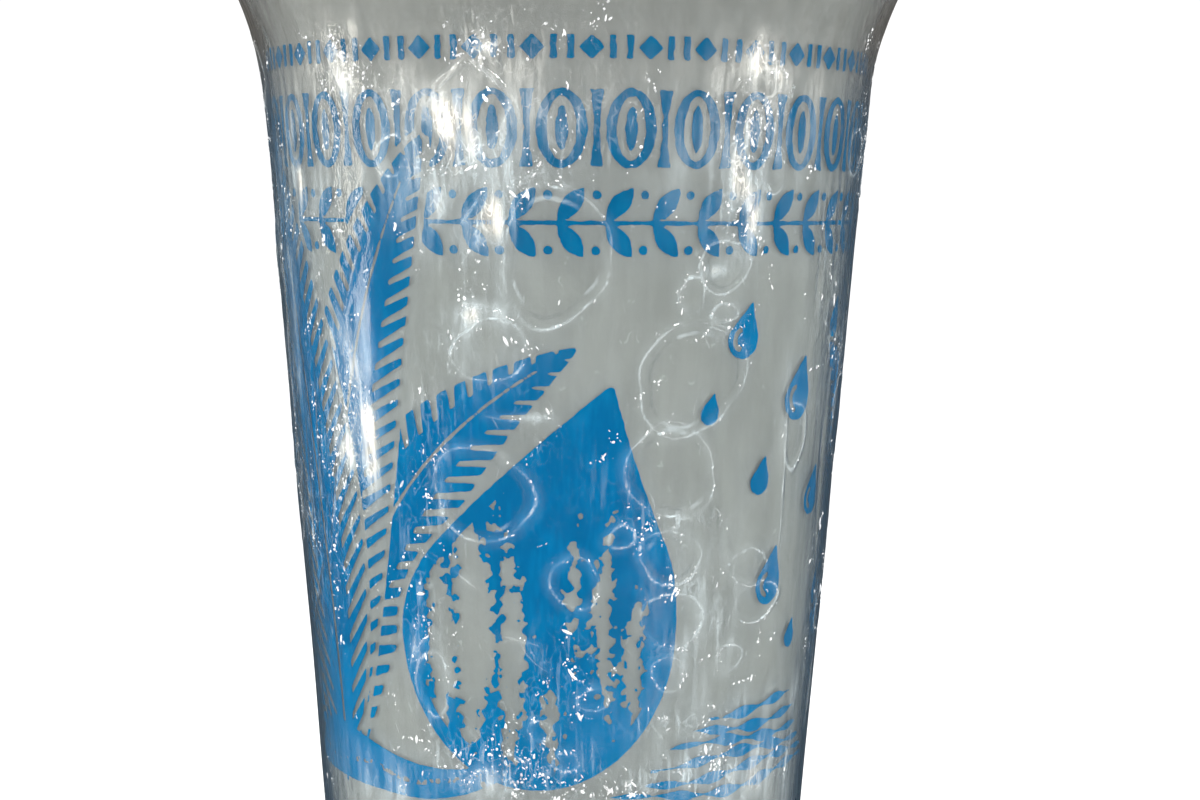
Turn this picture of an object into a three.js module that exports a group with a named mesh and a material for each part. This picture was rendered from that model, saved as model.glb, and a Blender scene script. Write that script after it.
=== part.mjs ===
// A sealed cup of frozen coconut juice: a tapered clear cup with a collar and a rolled rim, the frozen
// juice that fills it, a press-on lid, and a clear shrink film that wraps the whole pack.
// Millimetres, +Z up, with the origin at the middle of the underside that the pack stands on.
// Every piece is a body of revolution, so each one is a profile of [radius, height] points turned about Z.

import * as THREE from "three";

// Driving dimensions
const PACK_HEIGHT = 114.2;
const PACK_BASE_RADIUS = 28.5; // of the wrapped wall, carried down to the floor
const WALL_TAPER = THREE.MathUtils.degToRad(4.45);
const FLARE_START = 95; // height at which the film leaves the wall for the lid
const FLARE_TOP = 110.7; // height at which it meets the lid's edge, the widest place
const FLARE_RATE = 0.0164; // per mm: the film's sweep outwards goes with the square of the height
const FILM_THICKNESS = 0.35;
const CUP_WALL = 0.7;
const LID_WALL = 0.7;
const CLEARANCE = 0.3; // between pieces that touch
const RIM_HEIGHT = 112.5;
const JUICE_LEVEL = 107;

// Film details
const FILM_HOLE_RADIUS = 15; // of the opening that the shrunk film leaves under the base
const FILM_BASE_CORNER = 2.4;
const FILM_TOP_CORNER = 1.4;

// Cup details
const FOOT_CORNER = 1.8;
const FOOT_WIDTH = 2.2;
const FOOT_RECESS = 2;
const FOOT_DRAFT = 0.6; // how far the recess narrows on its way up
const COLLAR_START = 102;
const COLLAR_TOP = 107.2;
const COLLAR_RADIUS = 37.7;
const BEAD_RADIUS = 1.1;
const FLOOR_CORNER = 3;

// Juice details
const JUICE_CROWN = 1.2; // how far the middle froze up above the edge

// Lid details
const LID_SKIRT_BOTTOM = 110.9;
const LID_PANEL_UNDERSIDE = 109.6;
const LID_TOP_CORNER = 1;

const TURN_SEGMENTS = 60;
const CORNER_STEPS = 4;
const BEAD_STEPS = 9;
const FLARE_STEPS = 8;
const CROWN_STEPS = 4;

const wallSlope = Math.tan(WALL_TAPER);
const lidFilmRadius = filmRadius(FLARE_TOP);

// Points on an arc, in degrees from +radius towards +height.
function arc(radius, height, size, from, to, steps = CORNER_STEPS) {
  return Array.from({ length: steps + 1 }, (_, i) => {
    const angle = THREE.MathUtils.degToRad(from + ((to - from) * i) / steps);
    return [radius + size * Math.cos(angle), height + size * Math.sin(angle)];
  });
}

// Radius of the film's outer face on the wall and in the flare, taken in by an inset.
function filmRadius(height, inset = 0) {
  const flare = Math.max(0, height - FLARE_START);
  return PACK_BASE_RADIUS + wallSlope * height + FLARE_RATE * flare * flare - inset;
}

// Radius of the cup's straight wall at a height, taken in by an inset.
function wallRadius(height, inset = 0) {
  const clearOfFilm = FILM_THICKNESS + CLEARANCE;
  return PACK_BASE_RADIUS + wallSlope * height - clearOfFilm - inset;
}

// One face of the film, from the middle of the top down to the hole under the base.
function filmFace(inset) {
  const flare = Array.from({ length: FLARE_STEPS + 1 }, (_, i) => {
    const height = FLARE_TOP + ((FLARE_START - FLARE_TOP) * i) / FLARE_STEPS;
    return [filmRadius(height, inset), height];
  });
  const topCentre = [lidFilmRadius - FILM_TOP_CORNER, PACK_HEIGHT - FILM_TOP_CORNER];
  const baseCentre = [filmRadius(FILM_BASE_CORNER) - FILM_BASE_CORNER, FILM_BASE_CORNER];
  return [
    [0, PACK_HEIGHT - inset],
    ...arc(...topCentre, FILM_TOP_CORNER - inset, 90, 0),
    ...flare,
    ...arc(...baseCentre, FILM_BASE_CORNER - inset, 0, -90),
    [FILM_HOLE_RADIUS, inset],
  ];
}

// The film runs over the lid, down the wall and in under the base.
function filmProfile() {
  return [...filmFace(FILM_THICKNESS), ...filmFace(0).reverse()];
}

// The cup stands on a narrow foot ring, and its wall steps out at a collar below the rolled rim.
function cupProfile() {
  const foot = FILM_THICKNESS + CLEARANCE;
  const recess = foot + FOOT_RECESS;
  const floor = recess + CUP_WALL;
  const footCentre = [wallRadius(foot + FOOT_CORNER) - FOOT_CORNER, foot + FOOT_CORNER];
  const footInner = footCentre[0] - FOOT_WIDTH;
  const floorHeight = floor + FLOOR_CORNER;
  const floorCentre = [wallRadius(floorHeight, CUP_WALL) - FLOOR_CORNER, floorHeight];
  const beadCentre = [COLLAR_RADIUS - CUP_WALL + BEAD_RADIUS, RIM_HEIGHT - BEAD_RADIUS];
  const beadStart = THREE.MathUtils.radToDeg(Math.acos(CUP_WALL / BEAD_RADIUS - 1));
  return [
    [0, recess],
    [footInner, recess],
    [footInner + FOOT_DRAFT, foot],
    ...arc(...footCentre, FOOT_CORNER, -90, 0),
    [wallRadius(COLLAR_START), COLLAR_START],
    [COLLAR_RADIUS, COLLAR_TOP],
    ...arc(...beadCentre, BEAD_RADIUS, -beadStart, 180, BEAD_STEPS),
    [COLLAR_RADIUS - CUP_WALL, COLLAR_TOP],
    [wallRadius(COLLAR_START, CUP_WALL), COLLAR_START],
    ...arc(...floorCentre, FLOOR_CORNER, 0, -90),
    [0, floor],
  ];
}

// The juice fills the cup to the top of the collar, and its middle froze up into a low crown.
function juiceProfile() {
  const inset = CUP_WALL + CLEARANCE;
  const floor = FILM_THICKNESS + CLEARANCE + FOOT_RECESS + inset;
  const corner = FLOOR_CORNER - CLEARANCE;
  const floorCentre = [wallRadius(floor + corner, inset) - corner, floor + corner];
  const edge = COLLAR_RADIUS - inset - CLEARANCE;
  const crown = Array.from({ length: CROWN_STEPS + 1 }, (_, i) => {
    const share = 1 - i / CROWN_STEPS;
    return [edge * share, JUICE_LEVEL + JUICE_CROWN * (1 - share * share)];
  });
  return [
    [0, floor],
    ...arc(...floorCentre, corner, -90, 0),
    [wallRadius(COLLAR_START, inset), COLLAR_START],
    ...crown,
  ];
}

// The lid's skirt goes over the rolled rim, and its panel is let down into the cup's mouth.
function lidProfile() {
  const skirtOuter = lidFilmRadius - FILM_THICKNESS - CLEARANCE;
  const skirtInner = skirtOuter - LID_WALL;
  const channelTop = RIM_HEIGHT + CLEARANCE;
  const top = PACK_HEIGHT - FILM_THICKNESS - CLEARANCE;
  const plugOuter = COLLAR_RADIUS - CUP_WALL - CLEARANCE;
  const plugInner = plugOuter - LID_WALL;
  const panelTop = LID_PANEL_UNDERSIDE + LID_WALL;
  return [
    [0, LID_PANEL_UNDERSIDE],
    [plugOuter, LID_PANEL_UNDERSIDE],
    [plugOuter, channelTop],
    [skirtInner, channelTop],
    [skirtInner, LID_SKIRT_BOTTOM],
    [skirtOuter, LID_SKIRT_BOTTOM],
    ...arc(skirtOuter - LID_TOP_CORNER, top - LID_TOP_CORNER, LID_TOP_CORNER, 0, 90),
    ...arc(plugInner + LID_TOP_CORNER, top - LID_TOP_CORNER, LID_TOP_CORNER, 90, 180),
    [plugInner, panelTop],
    [0, panelTop],
  ];
}

// A solid of revolution about Z, as a named mesh. The lathe turns about Y, so it is stood up.
function turned(name, profile, material) {
  const points = profile.map(([radius, height]) => new THREE.Vector2(radius, height));
  const mesh = new THREE.Mesh(new THREE.LatheGeometry(points, TURN_SEGMENTS), material);
  mesh.name = name;
  mesh.rotation.x = Math.PI / 2;
  return mesh;
}

function clearPlastic(color, roughness, opacity) {
  return new THREE.MeshStandardMaterial({ color, roughness, metalness: 0, opacity, transparent: true });
}

function frostedJuice() {
  return new THREE.MeshStandardMaterial({ color: 0xa3aaa8, roughness: 0.35, metalness: 0 });
}

const pack = new THREE.Group();
pack.name = "frozen_juice_cup";
pack.add(
  turned("cup", cupProfile(), clearPlastic(0xd5dadb, 0.3, 0.35)),
  turned("frozen_juice", juiceProfile(), frostedJuice()),
  turned("lid", lidProfile(), clearPlastic(0xe0e4e4, 0.25, 0.4)),
  turned("shrink_film", filmProfile(), clearPlastic(0xeef2f4, 0.08, 0.25)),
);

export default pack;
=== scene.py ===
"""Dresses a sealed cup of frozen coconut juice: its ice, cup, lid, blue print and clear shrink film."""

import logging
import math
import random
from collections.abc import Callable, Sequence
from dataclasses import dataclass, field
from enum import Enum
from typing import Any

import bmesh
import bpy
import numpy as np
from mathutils import Matrix, Vector, noise


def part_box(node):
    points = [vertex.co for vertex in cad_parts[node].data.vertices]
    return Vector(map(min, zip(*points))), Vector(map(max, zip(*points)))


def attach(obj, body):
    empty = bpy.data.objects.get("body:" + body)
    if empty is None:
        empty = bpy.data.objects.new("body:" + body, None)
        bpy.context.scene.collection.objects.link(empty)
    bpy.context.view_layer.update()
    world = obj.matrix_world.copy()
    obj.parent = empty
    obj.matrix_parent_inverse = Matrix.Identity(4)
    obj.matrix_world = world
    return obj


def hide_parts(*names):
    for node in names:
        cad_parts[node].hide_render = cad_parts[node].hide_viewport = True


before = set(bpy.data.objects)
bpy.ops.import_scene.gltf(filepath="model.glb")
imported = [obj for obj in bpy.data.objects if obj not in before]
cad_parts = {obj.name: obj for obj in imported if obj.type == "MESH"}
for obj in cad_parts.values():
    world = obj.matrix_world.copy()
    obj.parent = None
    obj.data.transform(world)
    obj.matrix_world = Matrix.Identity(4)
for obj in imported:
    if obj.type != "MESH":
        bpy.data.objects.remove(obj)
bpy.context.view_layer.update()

MM = 0.001
BODY = "root"
TURN = 2 * math.pi
LEAST = 0.001
ARC_STEPS = 8
CRISP = math.radians(40)
Colour = tuple[float, float, float, float]
log = logging.getLogger("pack")


class Slot(Enum):
    """The record's material slots."""

    FILM = "shrink_film"
    CUP = "cup_plastic"
    LID = "lid_plastic"
    JUICE = "frozen_juice"
    INK = "print_ink"


@dataclass(frozen=True)
class Grain:
    """Smooth random relief: a point always gets the same value.

    Attributes:
        seed: Chooses the pattern.
    """

    seed: int

    def smooth(self, points: np.ndarray, size: float | Sequence[float]) -> np.ndarray:
        """Soft bumps.

        Args:
            points: Places, with x, y and z last.
            size: Distance between bumps, in the points' unit, or one distance for each axis.

        Returns:
            Values from about -0.8 to 0.8.
        """
        scaled = points / np.asarray(size, float) + self.seed * 17.31
        values = [noise.noise(place) for place in scaled.reshape(-1, 3).tolist()]
        return np.array(values).reshape(points.shape[:-1])

    def creased(self, points: np.ndarray, size: float | Sequence[float]) -> np.ndarray:
        """Sharp branching ridges, from 0 in the hollows to 1 on the crests."""
        return 1 - np.minimum(1, np.abs(self.smooth(points, size)) * 2.2)


def eased(value: np.ndarray, start: float, end: float) -> np.ndarray:
    """Smooth step from 0 at start to 1 at end."""
    share = np.clip((value - start) / (end - start), 0, 1)
    return share * share * (3 - 2 * share)


def round_axis(angle: Any, radius: Any, height: Any) -> np.ndarray:
    """Places round the pack's axis.

    Args:
        angle: Degrees from the middle of the front, growing to the viewer's right.
        radius: Distance from the axis.
        height: Height above the floor.

    Returns:
        Points with x, y and z last, in the unit of radius and height.
    """
    turn, radius, height = np.broadcast_arrays(np.radians(angle), radius, height)
    return np.stack([radius * np.sin(turn), -radius * np.cos(turn), height], -1)


def apart(angle: Any, other: float) -> Any:
    """Signed turn from one angle to another the short way, in degrees."""
    return (np.asarray(angle) - other + 180) % 360 - 180


def arc(centre: tuple, size: float, start: float, end: float, steps: int = ARC_STEPS) -> list:
    """Points on an arc of a profile, in degrees from outwards towards up."""
    turns = np.radians(np.linspace(start, end, steps + 1))
    return [(centre[0] + size * math.cos(t), centre[1] + size * math.sin(t)) for t in turns]


def mesh_of(name: str, points: np.ndarray, faces: Sequence = (), edges: Sequence = ()) -> bpy.types.Mesh:
    """Smooth-shaded mesh.

    Args:
        name: The mesh's name.
        points: Places in millimetres, with x, y and z last.
        faces: Corner numbers of each face.
        edges: End numbers of each loose edge.

    Returns:
        The mesh, in metres.
    """
    mesh = bpy.data.meshes.new(name)
    mesh.from_pydata((np.asarray(points).reshape(-1, 3) * MM).tolist(), edges, faces)
    mesh.polygons.foreach_set("use_smooth", [True] * len(mesh.polygons))
    mesh.update()
    return mesh


def grid_faces(rows: int, columns: int, joined: bool) -> list:
    """Quads between rows of points, facing a viewer who sees rows go up and columns go to the right.

    Args:
        rows: Number of rows of points.
        columns: Number of points in a row.
        joined: Whether the last column is joined to the first.

    Returns:
        Four corner numbers for each face.
    """
    spans = columns if joined else columns - 1
    row, column = np.meshgrid(np.arange(rows - 1), np.arange(spans), indexing="ij")
    low, after = row * columns, (column + 1) % columns
    corners = [low + column, low + after, low + columns + after, low + columns + column]
    return np.stack(corners, -1).reshape(-1, 4).tolist()


def cleaned(mesh: bpy.types.Mesh, closed: bool = True, merge: float = 0.004) -> bpy.types.Mesh:
    """Welds a mesh's doubles and turns a closed one's faces outwards.

    Args:
        mesh: The mesh, which is changed.
        closed: Whether it encloses a solid.
        merge: How near two points have to be, in millimetres.

    Returns:
        The same mesh.
    """
    work = bmesh.new()
    work.from_mesh(mesh)
    bmesh.ops.remove_doubles(work, verts=work.verts, dist=merge * MM)
    bmesh.ops.dissolve_degenerate(work, edges=work.edges, dist=merge * MM)
    if closed:
        bmesh.ops.recalc_face_normals(work, faces=work.faces)
    work.to_mesh(mesh)
    work.free()
    return mesh


def turned(name: str, profile: Sequence, segments: int, shift: Callable | None = None) -> bpy.types.Mesh:
    """Closed solid of revolution with crisp corners.

    Args:
        name: The mesh's name.
        profile: (radius, height) points from axis to axis.
        segments: Number of facets round the axis.
        shift: Takes the angle, radius and height of each point, and gives how far to move it out and up.

    Returns:
        The mesh.
    """
    radius, height = np.array(profile, float).T
    angle = np.linspace(0, 360, segments, endpoint=False)[None, :]
    radius, height = np.repeat(radius[:, None], segments, 1), np.repeat(height[:, None], segments, 1)
    if shift:
        out, up = shift(angle, radius, height)
        radius, height = np.where(radius > 0, radius + out, 0), height + up
    mesh = mesh_of(name, round_axis(angle, radius, height), grid_faces(len(radius), segments, True))
    cleaned(mesh)
    mesh.set_sharp_from_angle(angle=CRISP)
    return mesh


def piece(name: str, mesh: bpy.types.Mesh, finish: bpy.types.Material, slot: Slot,
          *nodes: str) -> bpy.types.Object:
    """Adds a finished piece to the pack. Only the ice casts a shadow, as what wraps it is clear or thin.

    Args:
        name: The piece's name.
        mesh: Its mesh, in place.
        finish: Its material.
        slot: The record's slot that its finish belongs to; only the juice's pieces cast a shadow.
        nodes: CAD nodes that it stands for.

    Returns:
        The piece.
    """
    made = bpy.data.objects.new(name, mesh)
    made.visible_shadow = slot is Slot.JUICE
    bpy.context.scene.collection.objects.link(made)
    mesh.materials.clear()
    mesh.materials.append(finish)
    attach(made, BODY)
    if nodes:
        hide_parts(*nodes)
    triangles = sum(len(face.vertices) - 2 for face in mesh.polygons)
    log.info("%s: %d triangles, finish %s", name, triangles, finish.name)
    return made


def marked(mesh: bpy.types.Mesh, name: str, values: np.ndarray, kind: str = "FLOAT") -> None:
    """Stores a number or vector for each point of a mesh, for a tree or a finish to read.

    Args:
        mesh: The mesh.
        name: What they are stored under.
        values: One for each point, in the points' order.
        kind: FLOAT or FLOAT_VECTOR.
    """
    stored = mesh.attributes.new(name, kind, "POINT")
    key = "value" if kind == "FLOAT" else "vector"
    stored.data.foreach_set(key, np.asarray(values, float).ravel())


@dataclass(frozen=True)
class Wire:
    """A node's output, on which sums are written as Python expressions."""

    nodes: "Nodes"
    socket: bpy.types.NodeSocket

    def __add__(self, other: Any) -> "Wire":
        """Sum."""
        return self.nodes.maths("ADD", self, other)

    def __sub__(self, other: Any) -> "Wire":
        """Difference."""
        return self.nodes.maths("SUBTRACT", self, other)

    def __rsub__(self, other: Any) -> "Wire":
        """Difference from a plain number."""
        return self.nodes.maths("SUBTRACT", other, self)

    def __mul__(self, other: Any) -> "Wire":
        """Product."""
        return self.nodes.maths("MULTIPLY", self, other)

    def __truediv__(self, other: Any) -> "Wire":
        """Quotient."""
        return self.nodes.maths("DIVIDE", self, other)

    __radd__ = __add__
    __rmul__ = __mul__


class Nodes:
    """A node tree under construction."""

    def __init__(self, tree: bpy.types.NodeTree, family: str) -> None:
        """Takes a tree.

        Args:
            tree: The tree.
            family: What the types of its own nodes begin with.
        """
        self.tree, self.family = tree, family

    def node(self, kind: str, settings: dict | None = None, inputs: dict | None = None,
             output: int | str = 0) -> Wire:
        """Adds a node.

        Args:
            kind: The node's type, without its family.
            settings: Properties, which are set first.
            inputs: Values, wires or lists of wires, by the name or number of the node's input.
            output: Which output is handed back.

        Returns:
            That output, as a wire.
        """
        made = self.tree.nodes.new(kind if kind.startswith(("Shader", "Function")) else self.family + kind)
        for key, value in (settings or {}).items():
            setattr(made, key, value)
        for key, value in (inputs or {}).items():
            if isinstance(value, (Wire, list)):
                for wire in value if isinstance(value, list) else [value]:
                    self.tree.links.new(wire.socket, made.inputs[key])
            else:
                made.inputs[key].default_value = value
        return Wire(self, made.outputs[output])

    def maths(self, operation: str, *values: Any) -> Wire:
        """Adds a Math node on numbers or wires."""
        return self.node("ShaderNodeMath", {"operation": operation}, dict(enumerate(values)))


class Tree(Nodes):
    """A Geometry Nodes tree, with named inputs for its sizes."""

    def __init__(self, name: str) -> None:
        """Starts an empty tree that takes and gives geometry.

        Args:
            name: The tree's name.
        """
        super().__init__(bpy.data.node_groups.new(name, "GeometryNodeTree"), "GeometryNode")
        for way in ("INPUT", "OUTPUT"):
            self.tree.interface.new_socket("Geometry", in_out=way, socket_type="NodeSocketGeometry")
        self.start = self.tree.nodes.new("NodeGroupInput")
        self.sizes: dict[str, Any] = {}

    @property
    def source(self) -> Wire:
        """The geometry that the tree is given."""
        return Wire(self, self.start.outputs["Geometry"])

    def size(self, name: str, value: float | int) -> Wire:
        """Adds a named number to the tree's inputs.

        Args:
            name: The input's name.
            value: What the modifier sets it to.

        Returns:
            The wire that carries it.
        """
        kind = "NodeSocketInt" if isinstance(value, int) else "NodeSocketFloat"
        item = self.tree.interface.new_socket(name, in_out="INPUT", socket_type=kind)
        self.sizes[item.identifier] = value
        return Wire(self, self.start.outputs[name])

    def stored(self, name: str, kind: str = "FLOAT") -> Wire:
        """Reads what marked() stored."""
        return self.node("InputNamedAttribute", {"data_type": kind}, {"Name": name})

    def facing(self, axis: str, direction: Any) -> Wire:
        """Rotation that points one axis in a direction."""
        return self.node("FunctionNodeAlignRotationToVector", {"axis": axis}, {"Vector": direction})

    def spun(self, rotation: Any, axis: tuple, angle: Any) -> Wire:
        """Turns a rotation further, about one of its own axes."""
        further = self.node("FunctionNodeAxisAngleToRotation", inputs={"Axis": axis, "Angle": angle})
        return self.node("FunctionNodeRotateRotation", {"rotation_space": "LOCAL"}, {0: rotation, 1: further})

    def drawn(self, low: tuple, high: tuple, seed: int) -> Wire:
        """Vector that differs for each instance, drawn between two corners."""
        return self.node("FunctionNodeRandomValue", {"data_type": "FLOAT_VECTOR"}, {0: low, 1: high, 8: seed})

    def placed(self, points: Any, instance: Any, rotation: Any, scale: Any) -> Wire:
        """Puts a copy of a small mesh on every point."""
        return self.node("InstanceOnPoints", inputs={"Points": points, "Instance": instance,
                                                     "Rotation": rotation, "Scale": scale})

    def smooth(self, geometry: Wire) -> Wire:
        """Shades a geometry smooth."""
        return self.node("SetShadeSmooth", inputs={"Geometry": geometry})

    def grown(self, mesh: bpy.types.Mesh, geometry: Wire, finish: bpy.types.Material) -> bpy.types.Mesh:
        """Ends the tree, runs it on a mesh and keeps the result as a plain mesh.

        Args:
            mesh: What the tree is given.
            geometry: What it gives back.
            finish: The material of the result.

        Returns:
            The new mesh.
        """
        real = self.node("RealizeInstances", inputs={"Geometry": geometry})
        dressed = self.node("SetMaterial", inputs={"Geometry": real, "Material": finish})
        end = self.tree.nodes.new("NodeGroupOutput")
        self.tree.links.new(dressed.socket, end.inputs["Geometry"])
        carrier = bpy.data.objects.new(self.tree.name, mesh)
        bpy.context.scene.collection.objects.link(carrier)
        modifier = carrier.modifiers.new("tree", "NODES")
        modifier.node_group = self.tree
        for identifier, value in self.sizes.items():
            modifier[identifier] = value
        evaluated = carrier.evaluated_get(bpy.context.evaluated_depsgraph_get())
        result = bpy.data.meshes.new_from_object(evaluated)
        carrier.modifiers.remove(modifier)
        bpy.data.objects.remove(carrier)
        return result


class Paint(Nodes):
    """The shader tree of a material or of the world."""

    def __init__(self, owner: bpy.types.Material | bpy.types.World) -> None:
        """Starts with an empty tree.

        Args:
            owner: The material or world that the tree belongs to.
        """
        owner.use_nodes = True
        super().__init__(owner.node_tree, "ShaderNode")
        self.owner = owner
        self.tree.nodes.clear()

    @classmethod
    def named(cls, name: str) -> "Paint":
        """Starts a new material."""
        return cls(bpy.data.materials.new(name))

    def between(self, value: Wire, low: float, high: float, start: float = 0.0, end: float = 1.0) -> Wire:
        """Moves a value smoothly from one range to another, and holds it at the ends."""
        sizes = {"Value": value, "From Min": low, "From Max": high, "To Min": start, "To Max": end}
        return self.node("MapRange", {"interpolation_type": "SMOOTHSTEP"}, sizes)

    def blend(self, share: Any, first: Any, second: Any) -> Wire:
        """Mixes two colours, of which the second shows where share is 1."""
        return self.node("Mix", {"data_type": "RGBA"}, {0: share, 6: first, 7: second}, 2)

    def clouds(self, size: float, stretch: float = 1.0, detail: float = 2.0, twist: float = 0.0) -> Wire:
        """Soft noise in the piece's own space.

        Args:
            size: Distance between its bumps, in millimetres.
            stretch: How much longer they are upwards.
            detail: How much finer noise is on them.
            twist: How much they are pulled about.

        Returns:
            Values round 0.5, mostly from 0.3 to 0.7.
        """
        where = self.node("TexCoord", output="Object")
        scale = (1 / (size * MM), 1 / (size * MM), 1 / (size * stretch * MM))
        place = self.node("Mapping", inputs={"Vector": where, "Scale": scale})
        settings = {"Vector": place, "Scale": 1.0, "Detail": detail, "Distortion": twist}
        return self.node("TexNoise", inputs=settings)

    def veins(self, size: float, stretch: float, twist: float) -> Wire:
        """Noise that is near 0 only along thin branching lines."""
        return self.maths("ABSOLUTE", self.clouds(size, stretch, 2.0, twist) - 0.5)

    def height(self) -> Wire:
        """Height above the floor, in metres."""
        place = self.node("TexCoord", output="Object")
        return self.node("SeparateXYZ", inputs={"Vector": place}, output="Z")

    def facing(self, **inputs: Wire) -> Wire:
        """How far from face on a place is seen, from 0 to 1."""
        return self.node("LayerWeight", inputs={"Blend": 0.5, **inputs}, output="Facing")

    def either(self, first: Wire, second: Wire) -> Wire:
        """Share that two layers cover together."""
        return 1 - (1 - first) * (1 - second)

    def clear(self, colour: Colour) -> Wire:
        """Adds a shader that light goes straight through."""
        return self.node("BsdfTransparent", inputs={"Color": colour})

    def stored(self, name: str) -> Wire:
        """Reads a number that marked() stored."""
        return self.node("Attribute", {"attribute_name": name}, output="Fac")

    def bump(self, height: Wire, depth: float, strength: float = 1.0) -> Wire:
        """Normal of a surface whose relief is depth millimetres where height is 1."""
        return self.node("Bump", inputs={"Height": height, "Distance": depth * MM, "Strength": strength})

    def body(self, colour: Any, **sockets: Any) -> Wire:
        """Adds a Principled shader, whose sockets are named with underscores for spaces."""
        inputs = {key.replace("_", " "): value for key, value in sockets.items()}
        return self.node("BsdfPrincipled", inputs={"Base Color": colour, **inputs})

    def mixed(self, share: Any, first: Wire, second: Wire) -> Wire:
        """Mixes two shaders, of which the second shows where share is 1."""
        return self.node("MixShader", inputs={0: share, 1: first, 2: second})

    def done(self, shader: Wire) -> bpy.types.Material | bpy.types.World:
        """Joins a shader to the output.

        Args:
            shader: What the surface, or the sky, looks like.

        Returns:
            The material or world that the tree belongs to.
        """
        kind = "World" if isinstance(self.owner, bpy.types.World) else "Material"
        end = self.tree.nodes.new("ShaderNodeOutput" + kind)
        self.tree.links.new(shader.socket, end.inputs["Surface"])
        return self.owner


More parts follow.
